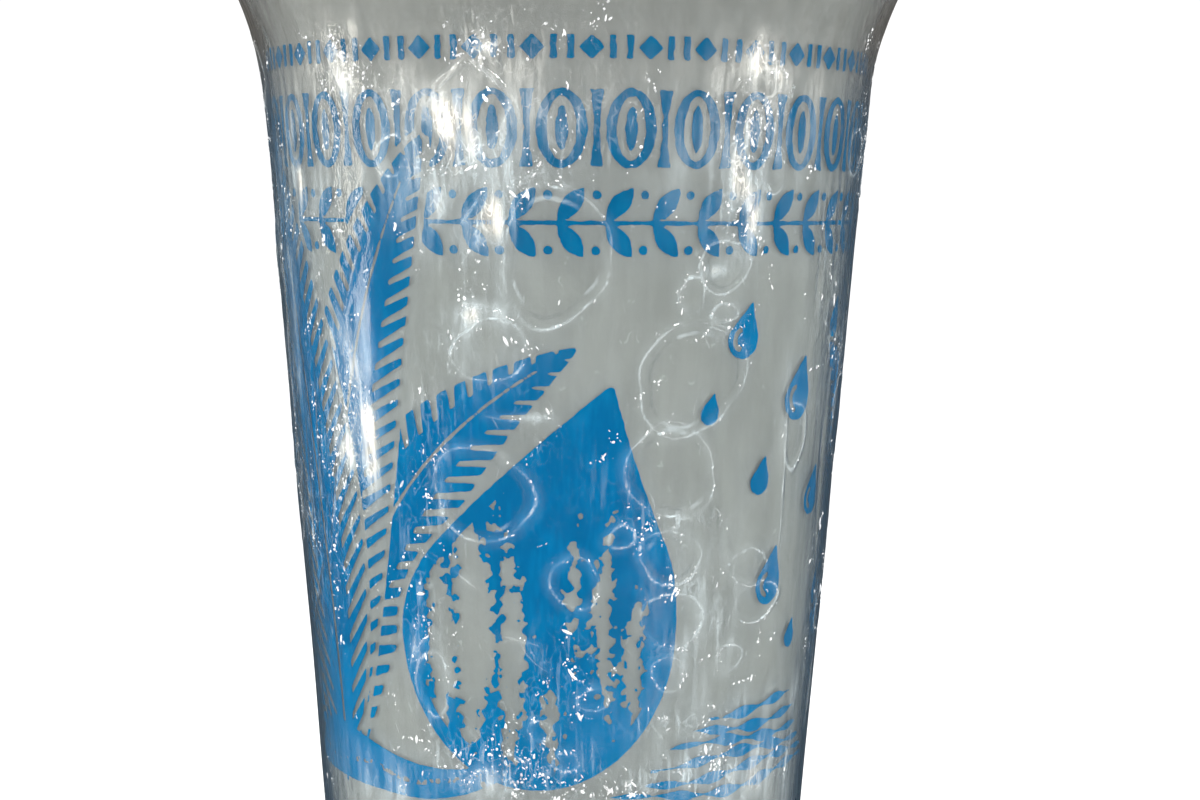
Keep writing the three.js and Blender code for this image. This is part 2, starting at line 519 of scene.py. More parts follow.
@dataclass(frozen=True)
class FilmFinish:
    """Clear shrink film: what it wraps shows through, its crinkles catch the lights, and it greys edge on.

    It lays painted highlight and sheen on outlines, folds, crumples and glare spots, and painted shade in
    sunk folds, inside outlines and between crumples. It reads what the film's points store: how crumpled they
    are, how strong the painted glare is, and how far away, in millimetres, the nearest outline or proud fold,
    the nearest inner outline and the nearest sunk fold are.
    """

    clear: Colour = (0.975, 0.985, 0.98, 1)
    gloss: Colour = (0.93, 0.97, 1.0, 1)
    # Tone of the pale marks: partly the film's own milky haze, partly painted highlight and sheen.
    haze_and_sheen: Colour = (0.76, 0.87, 0.90, 1)
    # Warm tone of the painted glare spots, a painted highlight.
    glare: Colour = (1.0, 0.95, 0.84, 1)
    # Tone of the painted shade in folds, inside outlines and between crumples.
    shade: Colour = (0.085, 0.11, 0.13, 1)
    edge: Colour = (0.036, 0.066, 0.098, 1)
    brow: Colour = (0.10, 0.095, 0.086, 1)
    light_bend: float = 1.5
    edge_start: float = 0.42
    edge_end: float = 0.90
    edge_share: float = 0.85
    most_pale: float = 0.92
    most_dark: float = 0.95
    warm_heights: tuple[float, float] = (0.084, 0.098)
    brow_heights: tuple[float, float] = (0.091, 0.103)
    top_edge: tuple[float, float] = (0.1125, 0.1137)

    def relief(self, paint: Paint, looks: dict[str, Wire]) -> Wire:
        """Fine draw lines and crinkles.

        Args:
            paint: The material.
            looks: What the film's points store, and its noise.

        Returns:
            The surface's normal.
        """
        crinkle = paint.veins(1.0, 1.6, 0.5) * looks["crumple"] * 0.3
        rim = paint.between(looks["line"], 0.55, 0.05, 0.0, 0.05)
        return paint.bump(looks["streak"] * 0.012 + crinkle + rim, 1.0)

    def paled(self, paint: Paint, looks: dict[str, Wire]) -> Wire:
        """Painted highlight and sheen: where the film is white, on outlines and folds, in crumples and on
        glare spots.

        Args:
            paint: The material.
            looks: What the film's points store, and its noise.

        Returns:
            Share of white.
        """
        crumple, glare, line, echo, _, streak, uneven = looks.values()
        # Painted highlights on the outlines: bright spots along them, and a soft painted glow round them.
        glint_spots = paint.clouds(1.1, 1.0, 1.0)
        lit = paint.between(uneven, 0.42, 0.66, 0.02, 0.20) + paint.between(glint_spots, 0.57, 0.72, 0.0, 0.36)
        outlines = paint.between(line, 0.24, 0.02) * lit + paint.between(line, 1.3, 0.1, 0.0, 0.028)
        echoes = paint.between(echo, 0.34, 0.03, 0.0, 0.20) * paint.between(uneven, 0.50, 0.36)
        streaks = paint.between(streak, 0.58, 0.68) * (crumple * 0.26 + 0.004)
        # Painted glare spots, and painted highlights along fine wrinkles.
        glares = glare * paint.between(streak, 0.35, 0.62, 0.35, 1.0)
        wrinkles = paint.between(paint.veins(1.3, 2.0, 0.7), 0.035, 0.0) * (crumple * 0.16 + glare * 0.45)
        return paint.maths("MINIMUM", outlines + echoes + streaks + glares + wrinkles, self.most_pale)

    def darkened(self, paint: Paint, looks: dict[str, Wire]) -> Wire:
        """Painted shade: where the film is dark, in sunk folds, inside outlines and between crumples.

        Args:
            paint: The material.
            looks: What the film's points store, and its noise.

        Returns:
            Share of shade.
        """
        crumple, glare, _, echo, sunk, streak, uneven = looks.values()
        # Painted shade in the hollows between crumples and along sunk folds and furrows.
        streaks = paint.between(streak, 0.41, 0.32) * crumple * 0.26
        folds = paint.between(sunk, 0.3, 0.04, 0.0, 0.6)
        echoes = paint.between(echo, 0.30, 0.03, 0.0, 0.18) * paint.between(uneven, 0.50, 0.62)
        furrows = paint.between(paint.veins(0.9, 2.0, 0.7), 0.03, 0.0) * (crumple * 0.14 + glare * 0.35)
        return paint.maths("MINIMUM", streaks + folds + echoes + furrows, self.most_dark)

    def material(self) -> bpy.types.Material:
        """Makes the material.

        Returns:
            The material, ready for a piece.
        """
        paint = Paint.named("shrink_film")
        looks = {name: paint.stored(name) for name in ("crumple", "glare", "line", "echo", "sunk")}
        looks |= {"streak": paint.clouds(0.7, 12.0, 3.0), "uneven": paint.clouds(5.5)}
        normal, height = self.relief(paint, looks), paint.height()
        rough = paint.between(paint.clouds(9.0), 0.35, 0.7, 0.05, 0.16)
        gloss = paint.body(self.gloss, Metallic=1.0, Roughness=rough, Normal=normal)
        shine = paint.node("Fresnel", inputs={"IOR": self.light_bend, "Normal": normal})
        shine = shine * paint.between(height, *self.top_edge, 1.5, 0.6)
        film = paint.mixed(shine, paint.clear(self.clear), gloss)
        # Painted highlight and painted shade are laid over the clear film as pale and dark shares.
        pale, dark = self.paled(paint, looks), self.darkened(paint, looks)
        facing, streaked = paint.facing(Normal=normal), paint.between(looks["streak"], 0.35, 0.62, 1.0, 0.65)
        share = paint.between(facing, self.edge_start, self.edge_end, 0.0, self.edge_share) * streaked
        share = share * paint.between(height, 0.1125, 0.1110)
        filled = paint.either(pale, dark)
        veiled = paint.either(filled, share)
        warm = paint.maths("MAXIMUM", paint.between(looks["glare"], 0.15, 0.6),
                           paint.between(height, *self.warm_heights, 0.0, 0.7))
        tone = paint.blend(warm, self.haze_and_sheen, self.glare)
        tone = paint.blend(dark / (filled + LEAST), tone, self.shade)
        edge = paint.blend(paint.between(height, *self.brow_heights), self.edge, self.brow)
        tone = paint.blend(share / (veiled + LEAST), tone, edge)
        return paint.done(paint.mixed(veiled, film, paint.body(tone, Roughness=0.32, Normal=normal)))


@dataclass(frozen=True)
class GlintFinish:
    """The thick edge of a pocket or fold in the film, or a bead of water under it, glossy and whitish: its
    white is a painted highlight.

    Attributes:
        name: The material's name.
        middle: How opaque it is seen face on.
        rim: How opaque it is at its sides.
    """

    name: str
    middle: float
    rim: float
    # Whitish, as a painted highlight.
    colour: Colour = (0.93, 0.96, 0.97, 1)

    def material(self) -> bpy.types.Material:
        """Makes the material.

        Returns:
            The material, ready for a piece.
        """
        paint = Paint.named(self.name)
        grain = paint.clouds(0.8)
        gloss = paint.body(self.colour, Roughness=paint.between(grain, 0.3, 0.7, 0.08, 0.24))
        patchy = paint.between(paint.clouds(2.4), 0.35, 0.62, 0.25, 1.0)
        share = paint.between(paint.facing(), 0.05, 0.8, self.middle, self.rim) * patchy
        return paint.done(paint.mixed(share, paint.clear((1, 1, 1, 1)), gloss))


@dataclass(frozen=True)
class PlasticFinish:
    """Clear moulded plastic with a faint haze and draw lines, darker where it is seen edge on.

    Attributes:
        name: The material's name.
        haze: Share of light that it scatters.
        tone: Colour of the haze.
        edge_share: How much darker it is edge on.
    """

    name: str
    haze: float
    tone: Colour
    edge_share: float = 0.6
    edge: Colour = (0.10, 0.115, 0.125, 1)
    clear: Colour = (0.97, 0.98, 0.98, 1)

    def material(self) -> bpy.types.Material:
        """Makes the material.

        Returns:
            The material, ready for a piece.
        """
        paint = Paint.named(self.name)
        drawn = paint.clouds(0.9, 30.0, 2.0)
        normal = paint.bump(drawn, 0.02)
        darker = tuple(0.8 * channel for channel in self.tone[:3]) + (1,)
        tone = paint.blend(paint.between(drawn, 0.35, 0.65), self.tone, darker)
        cloudy = paint.between(paint.clouds(3.0, 3.0), 0.3, 0.7, self.haze * 0.75, self.haze * 1.25)
        share = paint.between(paint.facing(Normal=normal), 0.55, 0.97, 0.0, self.edge_share)
        veiled = paint.either(cloudy, share)
        tone = paint.blend(share / (veiled + LEAST), tone, self.edge)
        hazy = paint.body(tone, Roughness=0.23, Normal=normal)
        return paint.done(paint.mixed(veiled, paint.clear(self.clear), hazy))


@dataclass(frozen=True)
class IceFinish:
    """Grey, cloudy frozen juice with upright streaks and pale frost."""

    deep: Colour = (0.300, 0.314, 0.296, 1)
    pale: Colour = (0.355, 0.370, 0.350, 1)
    frost: Colour = (0.49, 0.515, 0.505, 1)
    # Tone that the ice takes on towards the top: darker and warmer towards the top.
    collar: Colour = (0.265, 0.262, 0.242, 1)

    def material(self) -> bpy.types.Material:
        """Makes the material.

        Returns:
            The material, ready for a piece.
        """
        paint = Paint.named("frozen_juice")
        mottle = paint.clouds(7.0, 1.6, 4.0, 0.6)
        streak = paint.clouds(1.7, 9.0, 3.0)
        share = paint.between(mottle * 0.6 + streak * 0.4, 0.38, 0.62)
        colour = paint.blend(share, self.deep, self.pale)
        flecks = paint.between(paint.clouds(0.9, 1.8, 2.0, 1.2), 0.66, 0.74, 0.0, 0.6)
        colour = paint.blend(flecks, colour, self.frost)
        colour = paint.blend(paint.between(paint.height(), 0.070, 0.106, 0.0, 0.85), colour, self.collar)
        normal = paint.bump(mottle + streak * 0.3, 0.35, 0.5)
        rough = paint.between(mottle, 0.3, 0.7, 0.28, 0.6)
        return paint.done(paint.body(colour, Roughness=rough, Normal=normal))


@dataclass(frozen=True)
class InkFinish:
    """Bright blue screen print, laid a little unevenly."""

    full: Colour = (0.0002, 0.165, 0.375, 1)
    thin: Colour = (0.0010, 0.215, 0.46, 1)
    upper: Colour = (0.0010, 0.080, 0.155, 1)

    def material(self) -> bpy.types.Material:
        """Makes the material.

        Returns:
            The material, ready for a piece.
        """
        paint = Paint.named("print_ink")
        uneven = paint.clouds(3.5, 1.5, 4.0)
        pull = paint.clouds(0.5, 6.0, 1.0)
        height = paint.height()
        # Painted light: the ink is lighter towards the bottom.
        low = paint.between(height, 0.036, 0.024, 0.0, 0.22)
        share = paint.between(uneven * 0.7 + pull * 0.3 + low, 0.42, 0.66)
        colour = paint.blend(share, self.full, self.thin)
        # Painted shade: the ink darkens towards the top.
        colour = paint.blend(paint.between(height, 0.062, 0.092, 0.0, 0.42), colour, self.upper)
        rough = paint.between(uneven, 0.3, 0.7, 0.34, 0.52)
        normal = paint.bump(pull, 0.01)
        return paint.done(paint.body(colour, Roughness=rough, Normal=normal, Specular_IOR_Level=0.02))


@dataclass(frozen=True)
class PackShape:
    """Sizes that several pieces share, in millimetres, with heights above the floor."""

    height: float
    base_radius: float = 28.5
    slope: float = math.tan(math.radians(4.45))
    flare_start: float = 95.0
    flare_top: float = 110.7
    flare_rate: float = 0.0164
    film_gap: float = 0.65
    cup_wall: float = 0.7
    clearance: float = 0.3
    rim_height: float = 112.5
    juice_level: float = 107.0
    collar_start: float = 102.0
    collar_top: float = 107.2
    collar_radius: float = 37.7

    def film_radius(self, height: Any) -> Any:
        """Radius of the film's outer face on the wall and in the flare."""
        flare = np.maximum(0, height - self.flare_start)
        return self.base_radius + self.slope * height + self.flare_rate * flare**2

    def wall_radius(self, height: Any, inset: float = 0.0) -> Any:
        """Radius of the cup's straight wall, taken in by an inset."""
        return self.base_radius + self.slope * height - self.film_gap - inset


@dataclass(frozen=True)
class Juice:
    """The frozen juice, which fills the cup and froze up into a low crown."""

    shape: PackShape
    finish: IceFinish = IceFinish()
    crown: float = 1.2
    corner: float = 2.7
    floor: float = 3.65
    into_wall: float = 0.4
    segments: int = 180
    crystals: int = 700
    grain: Grain = Grain(11)

    def profile(self) -> list:
        """Half section of the ice.

        Returns:
            (radius, height) points from the middle of the underside to the middle of the crown.
        """
        shape, inset = self.shape, self.into_wall
        low = self.floor + self.corner
        edge = shape.collar_radius - inset
        wall = np.linspace(low, shape.collar_start, 60)[1:]
        top = np.linspace(1, 0, 40)
        return [
            *[(r, self.floor) for r in np.linspace(0, shape.wall_radius(low, inset) - self.corner, 8)[:-1]],
            *arc((shape.wall_radius(low, inset) - self.corner, low), self.corner, -90, 0),
            *[(shape.wall_radius(z, inset), z) for z in wall],
            (edge, shape.juice_level - 0.6),
            *[(edge * 0.99 * t, shape.juice_level + self.crown * (1 - t * t)) for t in top],
        ]

    def frozen(self, angle: np.ndarray, radius: np.ndarray, height: np.ndarray) -> tuple:
        """Frosty relief of the crown; the sides touch the cup all over.

        Args:
            angle: Degrees from the front's middle.
            radius: Of the smooth solid.
            height: Of the smooth solid.

        Returns:
            How far to move each place out and up.
        """
        points = round_axis(angle, radius, height)
        top = eased(height, self.shape.juice_level - 0.5, self.shape.juice_level)
        bumps = 0.5 * self.grain.smooth(points, 7.0) + 0.35 * self.grain.creased(points, 3.1)
        return 0 * radius, top * (bumps - 0.35) * eased(radius, 0, 2)

    def shards(self, finish: bpy.types.Material) -> bpy.types.Mesh:
        """Ice crystals strewn on the crown.

        Args:
            finish: Their material.

        Returns:
            The crystals as one mesh.
        """
        draw = random.Random(5)
        edge = self.shape.collar_radius - 3.0
        spots = []
        for _ in range(self.crystals):
            radius, angle = edge * math.sqrt(draw.random()), draw.uniform(-180, 180)
            rise = self.shape.juice_level + self.crown * (1 - (radius / edge) ** 2)
            spots.append(round_axis(angle, radius, rise))
        tree = Tree("ice_crystals")
        shard = tree.node("MeshIcoSphere", inputs={"Radius": tree.size("Crystal radius", 0.42 * MM)})
        turned_by = tree.drawn((0, 0, 0), (TURN, TURN, TURN), 3)
        stretch = tree.drawn((0.4, 0.5, 0.8), (1.1, 1.3, 2.6), 4)
        placed = tree.placed(tree.source, shard, turned_by, stretch)
        return tree.grown(mesh_of("crystal_spots", np.array(spots)), placed, finish)

    def build(self) -> None:
        """Adds the ice and its crystals."""
        finish = self.finish.material()
        body = turned("juice_body", self.profile(), self.segments, self.frozen)
        piece("juice_body", body, finish, Slot.JUICE, "frozen_juice")
        piece("juice_crystals", self.shards(finish), finish, Slot.JUICE)


@dataclass(frozen=True)
class Ribs:
    """A ring of small upright bars, such as the grip on a lid."""

    name: str
    count: int
    radius: float
    height: float
    length: float
    width: float
    proud: float
    lean: float = 0.0

    def mesh(self, finish: bpy.types.Material) -> bpy.types.Mesh:
        """Makes the bars round the axis by Geometry Nodes.

        Args:
            finish: Their material.

        Returns:
            The bars as one mesh.
        """
        tree = Tree(self.name)
        ring = tree.node("MeshCircle", inputs={"Vertices": tree.size("Count", self.count),
                                               "Radius": tree.size("Ring radius", self.radius * MM)})
        bar = tree.node("MeshIcoSphere", inputs={"Radius": 1.0, "Subdivisions": 2})
        scale = tree.node("ShaderNodeCombineXYZ", inputs={
            "X": tree.size("Stands proud", self.proud * MM),
            "Y": tree.size("Half width", self.width / 2 * MM),
            "Z": tree.size("Half length", self.length / 2 * MM)})
        outward = tree.facing("X", tree.node("InputPosition"))
        leaned = tree.spun(outward, (0, 1, 0), tree.size("Lean", math.radians(self.lean)))
        lift = tree.node("ShaderNodeCombineXYZ", inputs={"Z": tree.size("Height", self.height * MM)})
        raised = tree.node("Transform", inputs={"Geometry": tree.placed(ring, bar, leaned, scale),
                                                "Translation": lift})
        return tree.grown(mesh_of("seed", np.zeros((1, 3))), tree.smooth(raised), finish)


@dataclass(frozen=True)
class Cup:
    """The tapered clear cup, with its foot ring, collar and rolled rim."""

    shape: PackShape
    finish: PlasticFinish = PlasticFinish("cup_plastic", 0.10, (0.62, 0.66, 0.66, 1))
    segments: int = 180
    foot_corner: float = 1.8
    foot_width: float = 2.2
    foot_recess: float = 2.0
    foot_draft: float = 0.6
    floor_corner: float = 3.0
    bead_radius: float = 1.1

    def profile(self) -> list:
        """Half section of the cup.

        Returns:
            (radius, height) points up the outside, over the rolled rim and down the inside.
        """
        shape, wall = self.shape, self.shape.cup_wall
        foot, recess = shape.film_gap, shape.film_gap + self.foot_recess
        floor = recess + wall
        foot_centre = (shape.wall_radius(foot + self.foot_corner) - self.foot_corner, foot + self.foot_corner)
        inner = foot_centre[0] - self.foot_width
        low = floor + self.floor_corner
        floor_centre = (shape.wall_radius(low, wall) - self.floor_corner, low)
        bead = (shape.collar_radius - wall + self.bead_radius, shape.rim_height - self.bead_radius)
        start = math.degrees(math.acos(wall / self.bead_radius - 1))
        dome = [(r, recess + 0.5 * (1 - (r / inner) ** 2)) for r in np.linspace(0, inner * 0.93, 14)]
        outside = [(shape.wall_radius(z), z) for z in np.linspace(foot + 3, shape.collar_start - 0.6, 24)]
        inside = [(shape.wall_radius(z, wall), z) for z in np.linspace(shape.collar_start - 0.5, low + 1, 24)]
        rings = [(r, floor) for r in np.linspace(floor_centre[0], 0, 12)[1:]]
        return [
            *dome, (inner, recess), (inner + self.foot_draft, foot),
            *arc(foot_centre, self.foot_corner, -90, 0),
            *outside, *self.collar(0.0),
            *arc(bead, self.bead_radius, -start, 180, 24),
            *reversed(self.collar(wall)), *inside,
            *arc(floor_centre, self.floor_corner, 0, -90), *rings,
        ]

    def collar(self, inset: float) -> list:
        """Section of the collar's flare.

        Args:
            inset: How far it is taken in.

        Returns:
            (radius, height) points, upwards.
        """
        shape = self.shape
        low, high = shape.wall_radius(shape.collar_start, inset), shape.collar_radius - inset
        rise = shape.collar_top - shape.collar_start
        return [(low + (high - low) * float(eased(np.array(t), -0.3, 1.05)), shape.collar_start + rise * t)
                for t in np.linspace(0.1, 1, 9)]

    def build(self) -> None:
        """Adds the cup and the stacking ribs in its collar."""
        finish = self.finish.material()
        shape = self.shape
        piece("cup_body", turned("cup_body", self.profile(), self.segments), finish, Slot.CUP, "cup")
        ribs = Ribs("cup_ribs", 72, shape.collar_radius, shape.collar_top + 1.2, 2.2, 0.7, 0.18)
        piece("cup_ribs", ribs.mesh(finish), finish, Slot.CUP)


@dataclass(frozen=True)
class Lid:
    """The press-on lid: a skirt over the rolled rim, and a panel let down into the mouth."""

    shape: PackShape
    finish: PlasticFinish = PlasticFinish("lid_plastic", 0.20, (0.60, 0.64, 0.65, 1), 0.25)
    wall: float = 0.7
    skirt_bottom: float = 110.9
    underside: float = 109.6
    top_corner: float = 1.0
    segments: int = 180

    def profile(self) -> list:
        """Half section of the lid.

        Returns:
            (radius, height) points from the middle of the underside to the middle of the panel's top.
        """
        shape, corner = self.shape, self.top_corner
        outer = shape.film_radius(shape.flare_top) - shape.film_gap
        channel, top = shape.rim_height + shape.clearance, shape.height - shape.film_gap
        plug = shape.collar_radius - shape.cup_wall - shape.clearance
        panel = self.underside + self.wall
        rings = [(r, panel + self.ring(r)) for r in np.linspace(plug - self.wall - 0.8, 0, 76)]
        under = [(r, self.underside) for r in np.linspace(0, plug, 10)]
        return [
            *under, (plug, channel), (outer - self.wall, channel), (outer - self.wall, self.skirt_bottom),
            (outer, self.skirt_bottom), *arc((outer - corner, top - corner), corner, 0, 90),
            *arc((plug - self.wall + corner, top - corner), corner, 90, 180),
            *arc((plug - self.wall - 0.8, panel + 0.8), 0.8, 0, -90, 5)[:-1], *rings,
        ]

    def ring(self, radius: float) -> float:
        """Height of the panel's raised rings at a radius."""
        return sum(0.45 * math.exp(-(((radius - place) / 0.55) ** 2)) for place in (8.0, 20.0, 30.0))

    def build(self) -> None:
        """Adds the lid, the grip on its skirt and the stiffening ribs on its panel."""
        finish = self.finish.material()
        shape = self.shape
        outer = shape.film_radius(shape.flare_top) - shape.film_gap
        panel = self.underside + self.wall
        piece("lid_body", turned("lid_body", self.profile(), self.segments), finish, Slot.LID, "lid")
        grip = Ribs("lid_grip", 120, outer, self.skirt_bottom + 1.1, 1.9, 0.8, 0.16)
        piece("lid_grip", grip.mesh(finish), finish, Slot.LID)
        rays = Ribs("lid_ribs", 16, 25.0, panel + 0.1, 8.0, 1.1, 0.35, 90.0)
        piece("lid_ribs", rays.mesh(finish), finish, Slot.LID)


@dataclass(frozen=True)
class Blister:
    """An air pocket under the film, outlined where the film clings to the cup round it.

    Attributes:
        angle: Of its middle, in degrees from the front's middle, growing to the viewer's right.
        height: Of its middle.
        across: Half its width.
        up: Half its height.
        swell: How far its middle stands proud.
        line: How thick its outline is, against the others'.
        roundness: 2 for an oval, and less for a lozenge.
    """

    angle: float
    height: float
    across: float
    up: float
    swell: float = 0.05
    line: float = 1.0
    roundness: float = 2.0

    def wobble(self, turn: Any) -> Any:
        """How the outline departs from an oval.

        Args:
            turn: Angle round the pocket's middle, in radians.

        Returns:
            Its size against the oval's, round 1.
        """
        slow = 0.07 * np.sin(2 * turn + self.angle) + 0.055 * np.sin(3 * turn + self.height)
        quick = 0.02 * np.sin(5 * turn + 2 * self.angle) + 0.012 * np.sin(8 * turn + 3 * self.height)
        return 1 + slow + quick

    def reach(self, angle: np.ndarray, height: np.ndarray, shape: PackShape) -> np.ndarray:
        """How far out places lie.

        Args:
            angle: Degrees from the front's middle.
            height: Above the floor.
            shape: The pack's sizes.

        Returns:
            0 in the middle and 1 on the outline.
        """
        radius = shape.film_radius(self.height)
        side = np.radians(apart(angle, self.angle)) * radius / self.across
        rise = (height - self.height) / self.up
        power = self.roundness
        out = (np.abs(side) ** power + np.abs(rise) ** power) ** (1 / power)
        return out / self.wobble(np.arctan2(rise, side))

    def past(self, angle: np.ndarray, height: np.ndarray, shape: PackShape) -> np.ndarray:
        """Roughly how many millimetres past the outline places lie, below zero inside it."""
        return (self.reach(angle, height, shape) - 1) * min(self.across, self.up)

    def outline(self, shape: PackShape, points: int = 60) -> tuple[np.ndarray, np.ndarray]:
        """Points on the outline.

        Args:
            shape: The pack's sizes.
            points: How many.

        Returns:
            Their angles and their heights.
        """
        turn = np.linspace(0, TURN, points, endpoint=False)
        power = self.roundness
        bulge = (np.abs(np.cos(turn)) ** power + np.abs(np.sin(turn)) ** power) ** (-1 / power)
        out = self.wobble(turn) * bulge
        degrees = np.degrees(self.across / shape.film_radius(self.height))
        return self.angle + degrees * out * np.cos(turn), self.height + self.up * out * np.sin(turn)


@dataclass(frozen=True)
class Patch:
    """A place where the film is crumpled, as an oval that fades outwards."""

    angle: float
    height: float
    across: float
    up: float
    depth: float = 1.0

    def mask(self, angle: np.ndarray, height: np.ndarray, shape: PackShape) -> np.ndarray:
        """How crumpled places are, from 0 to the patch's depth."""
        side = np.radians(apart(angle, self.angle)) * shape.film_radius(self.height) / self.across
        return self.depth * np.exp(-(side**2) - ((height - self.height) / self.up) ** 2)


@dataclass(frozen=True)
class Crease:
    """A straight fold in the film, from one angle and height to another, proud or, below zero, sunk."""

    start: tuple[float, float]
    end: tuple[float, float]
    depth: float = 0.1

    def past(self, angle: np.ndarray, height: np.ndarray, shape: PackShape) -> tuple[np.ndarray, np.ndarray]:
        """Where places lie beside the fold.

        Args:
            angle: Degrees from the front's middle.
            height: Above the floor.
            shape: The pack's sizes.

        Returns:
            Millimetres from the fold, and how far along it, from 0 to 1.
        """
        scale = math.radians(1) * shape.film_radius(self.start[1])
        run = np.array([apart(self.end[0], self.start[0]) * scale, self.end[1] - self.start[1]])
        side, rise = apart(angle, self.start[0]) * scale, height - self.start[1]
        along = np.clip((side * run[0] + rise * run[1]) / (run @ run), 0, 1)
        return np.hypot(side - along * run[0], rise - along * run[1]), along

    def ridge(self, angle: np.ndarray, height: np.ndarray, shape: PackShape) -> np.ndarray:
        """How far the fold lifts the film at places."""
        away, along = self.past(angle, height, shape)
        return self.depth * np.exp(-((away / 0.34) ** 2)) * np.sin(math.pi * np.clip(along, 0.02, 0.98))


# Angle, height, half width, half height, swell, thickness of the outline, roundness.
FRONT_BLISTERS = tuple(Blister(*row) for row in (
    (-1, 77, 6, 7, 0.12, 1.2), (25, 64, 6.5, 6, 0.1), (21.5, 54, 5, 5.4, 0.1), (22, 44.5, 3.6, 3, 0.1),
    (23, 37.5, 3.9, 2.9), (41, 42.5, 2.9, 2.1), (44, 38.5, 3.4, 2.3), (22.5, 31.5, 2, 1.9),
    (3, 42, 2.6, 2.9), (-15, 51.5, 5.8, 4.9, 0.1, 1.3), (-13, 67, 4.2, 3.2), (-15, 18.7, 2, 2, 0.08, 1.2),
    (-4, 25.5, 1.2, 1.2), (37, 32.5, 1.9, 1.5), (30.5, 76, 3.4, 2.7, 0.1, 1.4),
    (24, 73, 1.6, 1.8, 0.05, 1.2), (31, 71, 1.8, 1.0, 0.05, 1.5), (-31, 87.5, 1.8, 2.2),
    (-16, 92.7, 4.9, 4.8, 0.5, 0.5, 1.25), (37, 95.5, 2.9, 2.2, 0.4, 0.8), (40, 86, 1.6, 2.4),
    (12, 47, 1.5, 1.2), (52, 57, 2.2, 4), (-27, 30, 2.2, 3.4), (7, 29, 1.6, 1.3),
    (32.5, 23.4, 1.0, 1.1, 0.04, 0.8), (27, 20.5, 0.8, 0.7, 0.04, 0.8), (1.5, 22, 1.3, 1.2, 0.04),
))
# Angle, height, half width, half height, depth.
FRONT_PATCHES = tuple(Patch(*row) for row in (
    (-43, 96, 2.2, 4, 0.9), (-30, 94.5, 1.4, 1.4, 0.6), (-13, 98.8, 2.6, 1.8, 0.9), (-20, 87, 3.2, 2.2, 1.0),
    (-43, 82, 4.5, 8, 0.42), (-55, 62, 6, 20, 0.4), (-48, 54, 4, 9, 0.6), (35, 92, 3.6, 6, 0.85),
    (33.5, 82.5, 3, 5, 0.75), (-14, 67, 4, 3.5, 0.55), (-15, 21.5, 9, 3, 0.75), (-29, 36, 4, 11, 0.5),
    (-67, 85, 3, 22, 0.25), (-60, 36, 5, 12, 0.3), (31, 68.5, 2.6, 2.2, 0.7), (-8, 84, 3, 4, 0.5),
    (-26, 52, 4, 5, 0.45), (60, 70, 4, 16, 0.25), (14, 18, 8, 2, 0.5), (-5, 58, 3, 4, 0.35),
    (22, 48.6, 3.4, 0.9, 0.65), (26, 41, 4.4, 0.9, 0.65), (24, 34.2, 3.2, 0.8, 0.55),
    (31, 48.5, 1.6, 1.2, 0.6), (33.5, 36, 2.2, 2.4, 0.5), (26, 26, 6, 1.4, 0.65), (32, 20, 8, 2.6, 0.65),
    (27, 59, 3, 1.0, 0.4), (-6, 20, 6, 2.5, 0.5), (-24, 62, 2.4, 4, 0.5),
))
# Angle and height of the start and of the end, depth.
FRONT_CREASES = tuple(Crease(*row) for row in (
    ((-24, 92.5), (-16, 97.5), 0.22), ((-16, 97.5), (-8.5, 93.5), 0.2), ((-24, 92.5), (-17, 88), 0.12),
    ((-8.5, 93.5), (-11, 87.5), 0.22), ((-46, 99.5), (-39, 92), 0.18), ((-11, 86), (-17, 76), 0.2),
    ((-9, 84), (-2, 86), 0.14), ((-58, 43.5), (-71, 33), -0.2), ((-47, 58), (-55, 44), 0.18),
    ((-50, 70), (-46, 56), 0.16), ((-57, 66), (-60, 48), -0.18), ((34, 90), (29, 83), 0.16),
    ((38, 87), (33, 79), 0.18), ((32, 99), (34, 92), 0.16), ((-12, 85), (-19, 79), 0.14),
    ((-18, 72), (-10, 71), 0.16), ((-22, 47), (-24, 56), 0.14), ((-29, 38), (-33, 30), 0.16),
    ((-12, 36), (-4, 35), 0.12), ((-2, 32), (-8, 36), 0.12), ((26, 70), (31, 69), 0.14),
    ((-64, 60), (-66, 34), -0.16), ((48, 66), (50, 44), 0.12), ((-38, 80), (-45, 70), 0.14),
    ((-14, 60), (-6, 59.5), 0.12), ((-21, 43), (-16, 41), 0.14), ((-31, 33), (-26, 36), 0.2),
    ((-62, 100), (-58, 82), -0.16), ((62, 98), (64, 70), -0.16), ((66, 66), (68, 40), -0.18),
    ((57, 88), (56, 68), -0.1), ((-66, 103), (-63, 97), -0.2), ((66, 60), (67, 52), -0.14),
    ((-51, 56), (-47, 50), -0.16), ((-76, 96), (-74, 60), -0.2), ((76, 92), (77, 50), -0.2),
    ((-70, 84), (-72, 48), 0.14),
))
